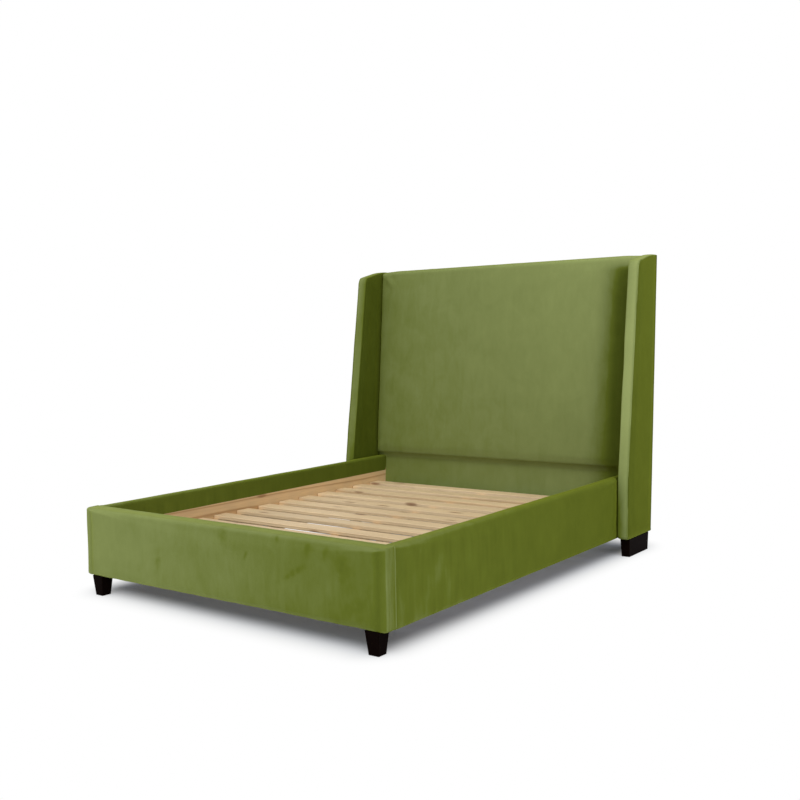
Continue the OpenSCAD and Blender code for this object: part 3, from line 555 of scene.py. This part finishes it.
def staple_row(name, places):
    """One staple, bent from wire, copied to each place and joined into a row"""
    first = block("one staple", (-0.005, -0.0006, 0.0), (0.005, 0.0006, 0.0007))
    round_off(first, 0.0002, 1, lambda middle, line: middle.z > 0.0006)
    for leg_at in (-0.0042, 0.0042):
        score(first, (leg_at, 0, 0), (1, 0, 0))
    pick(first, "FACE", lambda middle, face: face.normal.z < -0.9 and abs(middle.x) > 0.0043)
    bpy.ops.mesh.extrude_region_move(TRANSFORM_OT_translate={"value": (0, 0, -0.004)})
    close_edit()
    row = []
    for place in places:
        copy = bpy.data.objects.new(name, first.data.copy())
        bpy.context.collection.objects.link(copy)
        copy.data.transform(place)
        row.append(copy)
    bpy.data.objects.remove(first)
    bpy.ops.object.select_all(action="DESELECT")
    for copy in row:
        copy.select_set(True)
    bpy.context.view_layer.objects.active = row[0]
    bpy.ops.object.join()
    row = bpy.context.object
    row.name = row.data.name = name
    row.data.materials.clear()
    row.data.materials.append(staple_zinc)
    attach(row, "frame")
    return row


def spread(start, end, gap):
    """Places from start to end, about a gap apart, as (place, direction) pairs"""
    start, end = Vector(start), Vector(end)
    count = max(1, round((end - start).length / gap))
    return [(start.lerp(end, (k + 0.5) / count), (end - start).normalized()) for k in range(count)]


def standing(place, line, outward):
    """How a staple lies at a place: its wire along a line, its back outward"""
    side = outward.cross(line)
    turn = Matrix((line, side, outward)).transposed().to_4x4()
    return Matrix.Translation(place) @ turn


staple_zinc = zinc("staple zinc", 0.3)
lining_corners = [(-1, 0), (1, 0), (1, 1), (-1, 1)]
staple_in = 0.007
heights = (lining_low + staple_in, lining_high - staple_in)
places = []
for (x0, z0), (x1, z1) in zip(lining_corners, lining_corners[1:] + lining_corners[:1]):
    ends = [Vector((x * (lining_half - staple_in), head_depth, heights[z])) for x, z in ((x0, z0), (x1, z1))]
    places += spread(*ends, gap=0.06)
leaning = Matrix.Translation(head_foot) @ Matrix.Rotation(-lean, 4, "X")
staple_row("lining_staples", [leaning @ standing(place, line, Vector((0, 1, 0))) for place, line in places])


# Wings
# A board with windows, lightly padded on both faces and boxed in velvet: a narrow border runs down the front
# edge and over the top, sewn to the side panels with plain seams. Bolts hold it to the headboard's stile.
def sew(piece, at, across, half_width, depth, where):
    """A plain seam: the cover is drawn in along a plane, and stands up a little on both sides of it"""
    across = Vector(across).normalized()
    for step in (-2, 2, -1, 1, 0):
        score(piece, Vector(at) + across * half_width * step, across)
    close_edit()
    profile = ((0.25, -1.0), (1.25, 0.0), (2.25, 0.18))  # up to so many half widths off, so much of the depth

    def draw_in(place, normal):
        """How far the cover moves at a place"""
        off = abs((place - Vector(at)).dot(across)) / half_width
        for limit, share in profile if where(place, normal) else ():
            if off < limit:
                return depth * share
        return 0.0

    press(piece, draw_in)


wing_board = timber("wing plywood", "Z", (0.55, 0.38, 0.20), (0.42, 0.26, 0.12), ring_gap=0.012, heart=0.5,
                    roughness=0.7)
give(wing_board, "wing_left_frame", "wing_right_frame")
wing_low, wing_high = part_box("wing_right_cover")
front_low_y = wing_low.y
wing_top_deep = 0.237
front_top_y = wing_high.y - wing_top_deep
back_low_y = head_foot.y + head_depth / math.cos(lean)
wing_in, wing_out = wing_low.x, wing_high.x
wing_tall = wing_high.z - wing_low.z
wing_drop = 0.042
flat_top = 0.075
wing_shy = 0.0002
upright_depth = 0.27
knee_up = rail_top - wing_low.z
knee_out = 0.024
knee_sharp = 12
wing_plump = 0.005


def wing_front(z):
    """Where the wing's front edge stands at a height: nearly plumb beside the rail, then slanting back"""
    up = z - wing_low.z
    below, above = up / knee_up, (wing_tall - up) / (wing_tall - knee_up)
    share = -math.log(math.exp(-knee_sharp * below) + math.exp(-knee_sharp * above)) / knee_sharp
    return front_low_y + (front_top_y - front_low_y) * up / wing_tall - knee_out * max(0, share)


def make_wing(name):
    """An upright block, rounded and laid with even squares, then drawn out to the wing's slanting outline"""
    wing = block(name, (wing_in + wing_shy, 0, 0.0005), (wing_out - wing_shy, upright_depth, wing_tall))
    round_off(wing, 0.025, 5, lambda middle, line: abs(line.x) > 0.9 and middle.y < 0.001 and middle.z > 0.1)
    round_off(wing, 0.010, 4, lambda middle, line: abs(line.x) > 0.9 and middle.y < 0.001 and middle.z < 0.1)
    round_off(wing, 0.0035, 2, lambda middle, line: abs(line.x) < 0.9 and middle.z > 0.012)
    round_off(wing, 0.008, 3, lambda middle, line: abs(line.x) < 0.9 and middle.z < 0.012)
    even_mesh(wing, 0.008)
    flat_from = 1 - flat_top / (wing_high.y - front_top_y)
    bend = 0.3
    for corner in wing.data.vertices:
        back_share = corner.co.y / upright_depth
        short = 1 - back_share / flat_from
        fall = max(0, short) if abs(short) > bend else (short + bend) ** 2 / (4 * bend)
        up = corner.co.z * (1 - wing_drop * fall / wing_tall)
        front = wing_front(wing_low.z + up)
        back = back_low_y + up * math.tan(lean)
        inner_share = (wing_out - corner.co.x) / (wing_out - wing_in)
        corner.co.x -= wing_plump * inner_share * (1 - ease(corner.co.y, 0.02, 0.12))
        corner.co.y = front + back_share * (back - front)
        corner.co.z = wing_low.z + up
    return wing


def head_front(z):
    """Where the headboard's front stands at a height"""
    return head_foot.y + (z - underside) * math.tan(lean)


def wing_held(place, normal):
    """The cover is held at its seams, at the wing's back and foot, and where the headboard's pad presses on it"""
    return (0.2 < abs(normal.x) < 0.97 or place.z < wing_low.z + 0.02 or normal.y > 0.6
            or (place.x < wing_in + 0.01 and place.y > head_front(place.z) - 0.01))


wing_right = make_wing("wing_right_upholstery")
swell(wing_right, wing_held, reach=0.004)
refine(wing_right)
seam_in = 0.0018


def on_border(place, normal):
    """The border runs up the front and over the top, not down the back or under the foot"""
    return place.z > wing_low.z + 0.005 and place.y < head_front(place.z) + head_depth - 0.006


sew(wing_right, (wing_out - seam_in, 0, 0), (1, 0, 0), half_width=0.0014, depth=0.0013, where=on_border)
sew(wing_right, (wing_in - wing_plump + seam_in, 0, 0), (1, 0, 0), half_width=0.0016, depth=0.0018,
    where=lambda place, normal: on_border(place, normal) and place.y < wing_front(place.z) + 0.02)


def wing_ripple(place, normal):
    """Slight waves, most of them in front, and a full fold over the plywood's lower back corner"""
    soft = math.exp(-((place.y - wing_front(place.z)) / 0.06) ** 2)
    from_corner = math.hypot(head_front(place.z) + head_depth - place.y, place.z - wing_low.z)
    folded = 0.0008 * (normal.z < -0.7) + 0.0034 * (1 - ease(from_corner, 0.004, 0.016))
    return folded + 0.0011 * noise.noise(Vector((place.x * 20, place.y * 11, place.z * 7))) * (0.4 + soft)


def twin(piece, name, move):
    """A copy of a piece, moved; one that is mirrored by the move is turned right side out again"""
    copy = piece.copy()
    copy.data = piece.data.copy()
    copy.name = copy.data.name = name
    bpy.context.collection.objects.link(copy)
    copy.data.transform(move)
    if move.determinant() < 0:
        copy.data.flip_normals()
    return copy


press(wing_right, wing_ripple)
to_the_left = Matrix.Diagonal((-1, 1, 1, 1))
wing_left = twin(wing_right, "wing_left_upholstery", to_the_left)


def wing_tone(border_tone, border_foot_tone):
    """The border's tone is set for each wing and is darker towards its foot, with painted light and shade across
    it; the panels are dark, partly the way their pile lies and partly painted shade, and the outer one is lighter
    towards the top
    """
    def tone(place, normal):
        if normal.y > 0.75:
            return 0.35
        up = (place.z - wing_low.z) / wing_tall
        across = (abs(place.x) - wing_in + wing_plump) / (wing_out - wing_in + wing_plump)
        if abs(normal.x) < 0.75 and normal.y < 0.3:
            # Painted light and shade across the rounded border: lighter towards its outer edge, painted shade
            # where it rolls over each edge, and less of that near the top of the left wing
            slope = 0.05 + 0.50 * (1 - ease(up, 0.08, 0.35)) + 0.30 * ease(up, 0.6, 1.0)
            rolled_shade = 0.24 * ease(across, 0.76, 0.95) + 0.10 * (1 - ease(across, 0.0, 0.2))
            if place.x < 0:
                rolled_shade -= 0.09 * ease(up, 0.75, 0.95)
            return border_foot_tone + (border_tone - border_foot_tone) * ease(up, 0.0, 0.45) + slope * (across - 0.7) - rolled_shade
        from_back = (head_front(place.z) + head_depth / math.cos(lean) - place.y) * math.cos(lean)
        # The inner panel: dark, partly the way its pile lies and partly painted shade beside the headboard, and
        # darker low down
        if normal.x * place.x < 0:
            return 0.14 - 0.05 * (1 - ease(up, 0.3, 0.6))
        # The outer panel: dark, partly the way its pile lies and partly painted shade on a face turned from the
        # light, lighter towards the top, with painted shade along its back edge and a painted highlight along its
        # foot
        back_edge_shade = 0.30 * (1 - ease(from_back, 0.014, 0.028))
        foot_highlight = 0.14 * (1 - ease(place.z, wing_low.z, wing_low.z + 0.035))
        return 0.16 + 0.12 * up - (back_edge_shade - foot_highlight)
    return tone


upholstered(wing_right, wing_tone(border_tone=0.95, border_foot_tone=0.62), "wing_right_cover", "wing_right_foam")
upholstered(wing_left, wing_tone(border_tone=0.54, border_foot_tone=0.45), "wing_left_cover", "wing_left_foam")


# Wing feet
# A solid hardwood block under each wing, stained nearly black and lacquered, held by two bolts from below.
dark_wood = timber("dark stained wood", "Z", (0.0045, 0.002, 0.0015), (0.0018, 0.001, 0.0008), ring_gap=0.003,
                   roughness=0.5, pores=0.35)
tuned(dark_wood.node_tree.nodes["Principled BSDF"], Specular_IOR_Level=0.01)
give(dark_wood, "wing_left_foot", "wing_right_foot")


# Footboard
# A thick pine board padded on its front, top and ends. The velvet goes over the top and round the ends in one
# piece, with a raised seam down the back of each end, beside the rail, and staples underneath.
give(timber("footboard pine", "X", *pine, knots=0.8), "footboard_core")
foot_low, foot_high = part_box("footboard_cover")
footboard = block("footboard_upholstery", foot_low + Vector((0.0002, 0.0002, 0.0002)),
                  foot_high - Vector((0.0002, 0.0005, 0.0002)))


def footboard_radius(middle, line):
    """How round each edge of the footboard is"""
    if abs(line.z) > 0.9:
        return 0.015 if middle.y < foot_low.y + 0.01 else 0.003
    if middle.z < foot_low.z + 0.01:
        return 0.012 if abs(line.y) > 0.9 else 0.005
    if abs(line.y) > 0.9:
        return 0.005
    return 0.013 if middle.y < foot_low.y + 0.01 else 0.006


round_each(footboard, 5, footboard_radius)
even_mesh(footboard, 0.0075)
end_seam = foot_high.y - 0.011


def footboard_held(place, normal):
    """The cover is held along its foot, down its back and at its ends"""
    return normal.y > 0.5 or place.z < foot_low.z + 0.008 or abs(normal.x) > 0.7


swell(footboard, footboard_held, reach=0.0045)
refine(footboard)
sew(footboard, (0, end_seam, 0), (0, 1, 0), half_width=0.0013, depth=-0.0016,
    where=lambda place, normal: abs(normal.x) > 0.5)
end_dent = 0.037


def footboard_ripple(place, normal):
    """A shallow pull beside each end seam, and the unevenness of hand-laid foam"""
    if normal.y > 0.5:
        return 0.0
    from_end = foot_high.x - abs(place.x)
    pull = -0.0024 * math.exp(-((from_end - end_dent) / 0.012) ** 2) if normal.y < -0.5 else 0.0
    low_pull = 0.0006 * math.exp(-((place.z - foot_low.z) / 0.05) ** 2) * math.sin(place.x * 52) ** 3
    return pull + low_pull + 0.0015 * noise.noise(Vector((place.x * 4, 0, place.z * 8)))


press(footboard, footboard_ripple)


hand_strokes = [  # across, height, half length, half width and slant of each, in metres and radians
    (0.479, 0.352, 0.030, 0.024, 1.2), (0.558, 0.344, 0.026, 0.020, 1.5), (0.321, 0.368, 0.022, 0.010, 1.3),
    (0.162, 0.290, 0.030, 0.007, 1.0), (0.034, 0.362, 0.034, 0.018, 1.6), (0.640, 0.300, 0.050, 0.030, 1.6),
    (0.400, 0.250, 0.070, 0.012, 0.5), (-0.350, 0.200, 0.050, 0.014, 1.3), (0.700, 0.170, 0.045, 0.022, 0.4)]


def stroked(place):
    """How much darker hands have left the pile at a place on the footboard's front"""
    darker = 0.0
    for across, height, long, wide, slant in hand_strokes:
        x, z = place.x - across, place.z - height
        along, off = x * math.cos(slant) + z * math.sin(slant), z * math.cos(slant) - x * math.sin(slant)
        darker = max(darker, math.exp(-(along / long) ** 2 - (off / wide) ** 2))
    return darker * (0.6 + 0.8 * noise.noise(place * 45))


def footboard_tone(place, normal):
    """Painted light and shade: lighter to the left and darker to the right and low down as the light falls, with
    painted shade in the pull beside each end and a painted highlight over the top; and a few strokes left by hands
    """
    if normal.y > 0.5:
        return 0.42
    if abs(normal.x) > 0.8:
        streaks = 0.06 * noise.noise(Vector((0, place.y * 130, place.z * 9)))
        # A painted highlight along the raised seam at the back of each end; each end is also darker towards the
        # back
        seam = 0.22 * (abs(place.y - end_seam) < 0.0015)
        return 0.52 - 0.09 * ease(place.y, foot_low.y + 0.02, end_seam) + streaks + seam
    # Painted shade low down and in the pull beside each end, and a painted highlight over the top edge and on the
    # top
    low = 1 - ease(place.z, foot_low.z, foot_low.z + 0.12)
    from_end = foot_high.x - abs(place.x)
    dent_shade = 0.09 * math.exp(-((from_end - end_dent) / 0.014) ** 2) * (1 - ease(normal.z, 0.2, 0.6))
    lit_top = 0.13 * max(edge_highlight(normal), ease(normal.z, 0.3, 0.9))
    return 0.53 - 0.12 * place.x / foot_high.x - 0.03 * low - 0.10 * stroked(place) - dent_shade + lit_top


upholstered(footboard, footboard_tone, "footboard_cover", "footboard_foam")
row_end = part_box("foot_leg_right")[0].x - 0.015
row_y = foot_high.y - 0.012
down = Vector((0, 0, -1))
foot_row = spread((-row_end, row_y, foot_low.z), (row_end, row_y, foot_low.z), gap=0.05)
staple_row("footboard_staples", [standing(place, line, down) for place, line in foot_row])


# Tapered legs
# Solid hardwood legs that taper on all four sides, stained nearly black, screwed up into the footboard.
give(dark_wood, "foot_leg_left", "foot_leg_right")


# Side rails
# A pine board on edge, padded outside and on top. The velvet is pulled over, and stapled underneath and to the
# board's inner face above the ledger, so the bare board shows below the slats and from underneath.
give(timber("rail pine", "Y", *pine, knots=0.8), "rail_left_core", "rail_right_core")
rail_low, rail_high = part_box("rail_right_cover")
board_low, board_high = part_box("rail_right_core")
ledger_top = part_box("ledger_right")[1].z
rail_shy = 0.0002
rail_bury = 0.010
under_board = 0.0012
turned = 0.025
rail_right = block("rail_right_upholstery", (rail_low.x, rail_low.y - rail_bury, rail_low.z + 0.0003),
                   (rail_high.x - rail_shy, rail_high.y + 0.1, rail_high.z - rail_shy))
score(rail_right, (0, 0, ledger_top), (0, 0, 1))
score(rail_right, (rail_high.x - turned, 0, 0), (1, 0, 0))
pick(rail_right, "FACE", lambda middle, face: face.normal.x < -0.9 and middle.z < ledger_top)
bpy.ops.transform.translate(value=(board_low.x + under_board - rail_low.x, 0, 0))
pick(rail_right, "FACE", lambda middle, face: face.normal.z < -0.9 and middle.x < rail_high.x - turned)
bpy.ops.transform.translate(value=(0, 0, board_low.z + under_board - rail_low.z))
close_edit()
saw(rail_right, head_foot + Vector((0, (pad_depth + rail_bury) / math.cos(lean), 0)),
    (0, math.cos(lean), -math.sin(lean)))
for radius, steps, x, z in ((0.013, 4, rail_high.x, rail_high.z), (0.006, 3, rail_low.x, rail_high.z),
                            (0.005, 3, rail_high.x, rail_low.z)):
    round_off(rail_right, radius, steps, lambda middle, line: (
        abs(line.y) > 0.9 and abs(middle.x - x) < 0.01 and abs(middle.z - z) < 0.01))
even_mesh(rail_right, 0.008)


def rail_held(place, normal):
    """The cover is held inside, underneath, at both ends, and where it runs in behind the wing"""
    return (normal.x < -0.5 or normal.z < -0.5 or abs(normal.y) > 0.5 or place.z < rail_low.z + 0.01
            or place.y > wing_front(place.z) - 0.008)


swell(rail_right, rail_held, reach=0.0035)
refine(rail_right)


def rail_ripple(place, normal):
    """Uneven foam, and the crevice where the rail runs in behind the wing"""
    if normal.x < 0.0 and normal.z < 0.5:
        return 0.0
    front = wing_front(place.z)
    crevice = 0.006 * ease(place.y, front - 0.005, front + 0.003) if normal.x > 0.5 else 0.0
    return 0.0013 * noise.noise(Vector((0, place.y * 4, place.z * 9))) - crevice


press(rail_right, rail_ripple)
rail_left = twin(rail_right, "rail_left_upholstery", to_the_left)


def rail_tone(place, normal):
    """Darker than the footboard, partly because the pile lies along the rail and partly as painted shade on a face
    turned from the light, and darker towards the far end; its near end has been brushed up, painted light lifts it
    low down and over the top, and painted shade darkens the gap beside the wing
    """
    along = (place.y - rail_low.y) / (rail_high.y - rail_low.y)
    streaks = (noise.noise(Vector((3, place.y * 20, place.z * 6)))
               + 0.6 * noise.noise(Vector((7, place.y * 60, place.z * 9))))
    below_top = 1 - ease(place.z, rail_high.z - 0.05, rail_high.z - 0.02)
    brushed = 0.08 * streaks * (1 - ease(along, 0.15, 0.7)) * below_top
    # Painted light low down, as from the floor's bounce, and a painted highlight over the top
    low = 1 - ease(place.z, rail_low.z, rail_low.z + 0.05)
    lit_top = 0.11 * max(edge_highlight(normal), ease(normal.z, 0.4, 0.9))
    front = wing_front(place.z)
    # Painted shade on the outer face where the rail runs in behind the wing
    wing_crevice_shade = 0.30 * ease(place.y, front - 0.004, front + 0.002) * (normal.x * place.x > 0)
    return 0.39 - 0.22 * along + brushed + 0.03 * low - wing_crevice_shade + lit_top


upholstered(rail_right, rail_tone, "rail_right_cover", "rail_right_foam")
upholstered(rail_left, rail_tone, "rail_left_cover", "rail_left_foam")
rail_edge = rail_high.x - turned + 0.006
rail_end = board_high.y - 0.06
rows = []
for x in (-rail_edge, rail_edge):
    for place, line in spread((x, rail_low.y + 0.02, rail_low.z), (x, rail_end, rail_low.z), gap=0.05):
        rows.append(standing(place, line, down))
staple_row("rail_staples", rows)


# Ledgers, centre beam and legs
# Planed pine strips screwed along the rails, a pine beam down the middle on three square legs, and the slats'
# ends rest on the strips.
give(timber("ledger pine", "Y", (0.68, 0.50, 0.29), (0.52, 0.33, 0.16), heart=0.31), "ledger_left", "ledger_right")
give(timber("beam pine", "Y", (0.64, 0.44, 0.24), (0.46, 0.27, 0.12), knots=0.7), "centre_beam")
give(timber("leg pine", "Z", (0.66, 0.46, 0.25), (0.48, 0.29, 0.13)),
     "centre_leg_1", "centre_leg_2", "centre_leg_3")


# Brackets, shoes and fastenings
# Bent steel corner brackets and beam shoes, bright zinc plated, with hexagon bolts into yellow zinc inserts.
give(zinc("bracket zinc", 0.42), "foot_brackets", "head_brackets", "beam_shoe_foot", "beam_shoe_head")
give(zinc("bolt zinc", 0.30), "bracket_bolts", "wing_bolts", "hanger_bolts",
     "level_stud_1", "level_stud_2", "level_stud_3")
give(zinc("yellow zinc", 0.35, (0.72, 0.56, 0.26)), "threaded_inserts", "wood_screws")


# Glides and levelling pads
# Black moulded nylon: glides pressed in under the legs and feet, and the pads of the levelling feet.
def nylon(name):
    """Black nylon, faintly grained by the mould and duller where it is scuffed"""
    material, tree, shader = new_material(name)
    grain = noise_over(tree, Scale=1500.0, Detail=2.0)
    scuff = noise_over(tree, Scale=120.0, Detail=4.0)
    tone = colour_steps(tree, (0.35, (0.010, 0.010, 0.011)), (0.75, (0.030, 0.030, 0.031)))
    wire(tree, (scuff, tone.inputs[0]), (tone.outputs[0], shader.inputs["Base Color"]),
         (levels(tree, scuff, 0.38, 0.6), shader.inputs["Roughness"]))
    stand_up(tree, shader, grain, 0.2, 0.0002)
    return material


give(nylon("black nylon"), "glides", "level_pad_1", "level_pad_2", "level_pad_3")


# Slats
# Thirteen planed pine slats with rounded edges, screwed to the ledgers.
slat_pine = timber("slat pine", "X", (0.74, 0.56, 0.34), (0.58, 0.38, 0.19), ring_gap=0.005, heart=0.35, knots=0.9)
give(slat_pine, *[f"slat_{n}" for n in range(1, 14)])


# Slat webbing
# Two grey woven polypropylene straps under the slats, which keep them at their pitch. Each is drawn tight from
# slat to slat, with two staples under every one.
def webbing(name):
    """Flat woven tape: pale where warp and weft stand up, darker in the gaps between them"""
    material, tree, shader = new_material(name)
    where = add(tree, "TexCoord")
    warp = add(tree, "TexWave", bands_direction="X", Scale=0.314 / 0.0022, Distortion=0.0)
    weft = add(tree, "TexWave", bands_direction="Y", Scale=0.314 / 0.0030, Distortion=0.0)
    both = add(tree, "Math", operation="MULTIPLY")
    tone = colour_steps(tree, (0.0, (0.10, 0.10, 0.10)), (0.5, (0.30, 0.30, 0.29)), (1.0, (0.42, 0.42, 0.41)))
    wire(tree, (where.outputs["Object"], warp.inputs["Vector"]), (where.outputs["Object"], weft.inputs["Vector"]),
         (warp.outputs["Fac"], both.inputs[0]), (weft.outputs["Fac"], both.inputs[1]),
         (both.outputs[0], tone.inputs[0]), (tone.outputs[0], shader.inputs["Base Color"]))
    stand_up(tree, shader, both.outputs[0], 0.8, 0.0006)
    tuned(shader, Roughness=0.7)
    return material


web_low, web_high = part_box("slat_webbing")
web_wide, web_thick = 0.030, 0.0012
web_middle = web_high.x - web_wide / 2
slat_boxes = [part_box(f"slat_{n}") for n in range(1, 14)]
web_right = cloth("slat_strap_right", (4, 480), (web_wide, web_high.y - web_low.y),
                  (web_middle, (web_low.y + web_high.y) / 2, web_high.z - web_thick / 2 - 0.0001))


def web_sag(place):
    """How far the strap hangs between two slats"""
    for (_, behind), (ahead, _) in zip(slat_boxes, slat_boxes[1:]):
        if behind.y < place.y < ahead.y:
            return 0.0016 * math.sin(math.pi * (place.y - behind.y) / (ahead.y - behind.y)) ** 2
    return 0.0


for corner in web_right.data.vertices:
    corner.co.z -= web_sag(corner.co)
apply_modifier(web_right, "SOLIDIFY", thickness=web_thick, offset=0)
web_right.data.materials.append(webbing("grey webbing"))
bpy.ops.object.shade_smooth_by_angle(angle=math.radians(40))
web_left = twin(web_right, "slat_strap_left", Matrix.Translation((-2 * web_middle, 0, 0)))
for strap in (web_right, web_left):
    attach(strap, "frame")
    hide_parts("slat_webbing")
across_strap = Vector((1, 0, 0))
strap_places = [Vector((x, (low.y + high.y) / 2 + off, web_low.z)) for x in (-web_middle, web_middle)
                for low, high in slat_boxes for off in (-0.02, 0.02)]
staple_row("strap_staples", [standing(place, across_strap, down) for place in strap_places])


# Floor and light
# A white floor whose own colour is painted darker and a little cooler, as a soft shadow, within a rectangle under
# the bed, over the shadow it takes from the lamps; past that the painted shadow fades out and the floor shows
# plain white to the camera.
# A white surround, and studio lamps: a broad key from the front right and a weak fill.
bpy.ops.mesh.primitive_plane_add(size=60, location=(-0.01, 0, -0.0002), rotation=(0, 0, -0.028))
floor = bpy.context.object
floor.name = "studio_floor"
floor_paint, tree, shader = new_material("white floor")
tuned(shader, Roughness=0.9, Specular_IOR_Level=0.0)
glow = add(tree, "Emission", Strength=1.0)
seen = add(tree, "LightPath")
place = add(tree, "TexCoord")
flipped = add(tree, "VectorMath", operation="ABSOLUTE")
shaded_half = (0.730, 1.007, 0)
past = add(tree, "VectorMath", operation="SUBTRACT")
past.inputs[1].default_value = shaded_half
beyond = add(tree, "VectorMath", operation="MAXIMUM")
sideways = 1.27
narrower = add(tree, "VectorMath", operation="MULTIPLY")
narrower.inputs[1].default_value = (sideways, 1, 1)
away = add(tree, "VectorMath", operation="LENGTH")
fade = 0.28
far = add(tree, "MapRange", From_Min=0.0, From_Max=fade, interpolation_type="SMOOTHSTEP")
# Painted shadow: the floor's own colour, dark and cool near the bed and pale away from it
shade = colour_steps(tree, (0.0, (0.465, 0.50, 0.575)), (1.0, (0.84, 0.85, 0.865)))
share = add(tree, "Math", operation="MULTIPLY")
blend = add(tree, "MixShader")
output = tree.nodes["Material Output"]
wire(tree, (place.outputs["Object"], flipped.inputs[0]), (flipped.outputs[0], past.inputs[0]),
     (past.outputs[0], beyond.inputs[0]), (beyond.outputs[0], narrower.inputs[0]),
     (narrower.outputs[0], away.inputs[0]), (away.outputs["Value"], far.inputs[0]),
     (far.outputs[0], shade.inputs[0]), (shade.outputs[0], shader.inputs["Base Color"]),
     (seen.outputs["Is Camera Ray"], share.inputs[0]), (far.outputs[0], share.inputs[1]),
     (share.outputs[0], blend.inputs[0]), (shader.outputs[0], blend.inputs[1]),
     (glow.outputs[0], blend.inputs[2]), (blend.outputs[0], output.inputs[0]))
floor.data.materials.append(floor_paint)

world = bpy.data.worlds.new("studio")
world.use_nodes = True
bpy.context.scene.world = world
tree = world.node_tree
surround = tuned(tree.nodes["Background"], Strength=0.45, Color=(1, 1, 1, 1))
white = add(tree, "Background", Strength=1.0, Color=(1, 1, 1, 1))
seen = add(tree, "LightPath")
either = add(tree, "Math", operation="MAXIMUM")
any_clear = add(tree, "Math", operation="MAXIMUM")
blend = add(tree, "MixShader")
wire(tree, (seen.outputs["Is Camera Ray"], either.inputs[0]), (seen.outputs["Is Glossy Ray"], either.inputs[1]),
     (either.outputs[0], any_clear.inputs[0]), (seen.outputs["Is Transmission Ray"], any_clear.inputs[1]),
     (any_clear.outputs[0], blend.inputs[0]), (surround.outputs[0], blend.inputs[1]),
     (white.outputs[0], blend.inputs[2]), (blend.outputs[0], tree.nodes["World Output"].inputs[0]))


def lamp(name, place, strength, spread_degrees):
    """A far, broad lamp that shines from a place towards the bed, evenly all over it"""
    bpy.ops.object.light_add(type="SUN", location=place)
    light = bpy.context.object
    light.name = name
    light.data.energy = strength
    light.data.angle = math.radians(spread_degrees)
    light.rotation_euler = (-Vector(place)).to_track_quat("-Z", "Y").to_euler()


lamp("key", (1.7, -3.6, 4.0), 1.75, 50)
lamp("fill", (4.0, -2.0, 2.5), 0.65, 60)
bpy.context.scene.view_settings.view_transform = "Standard"
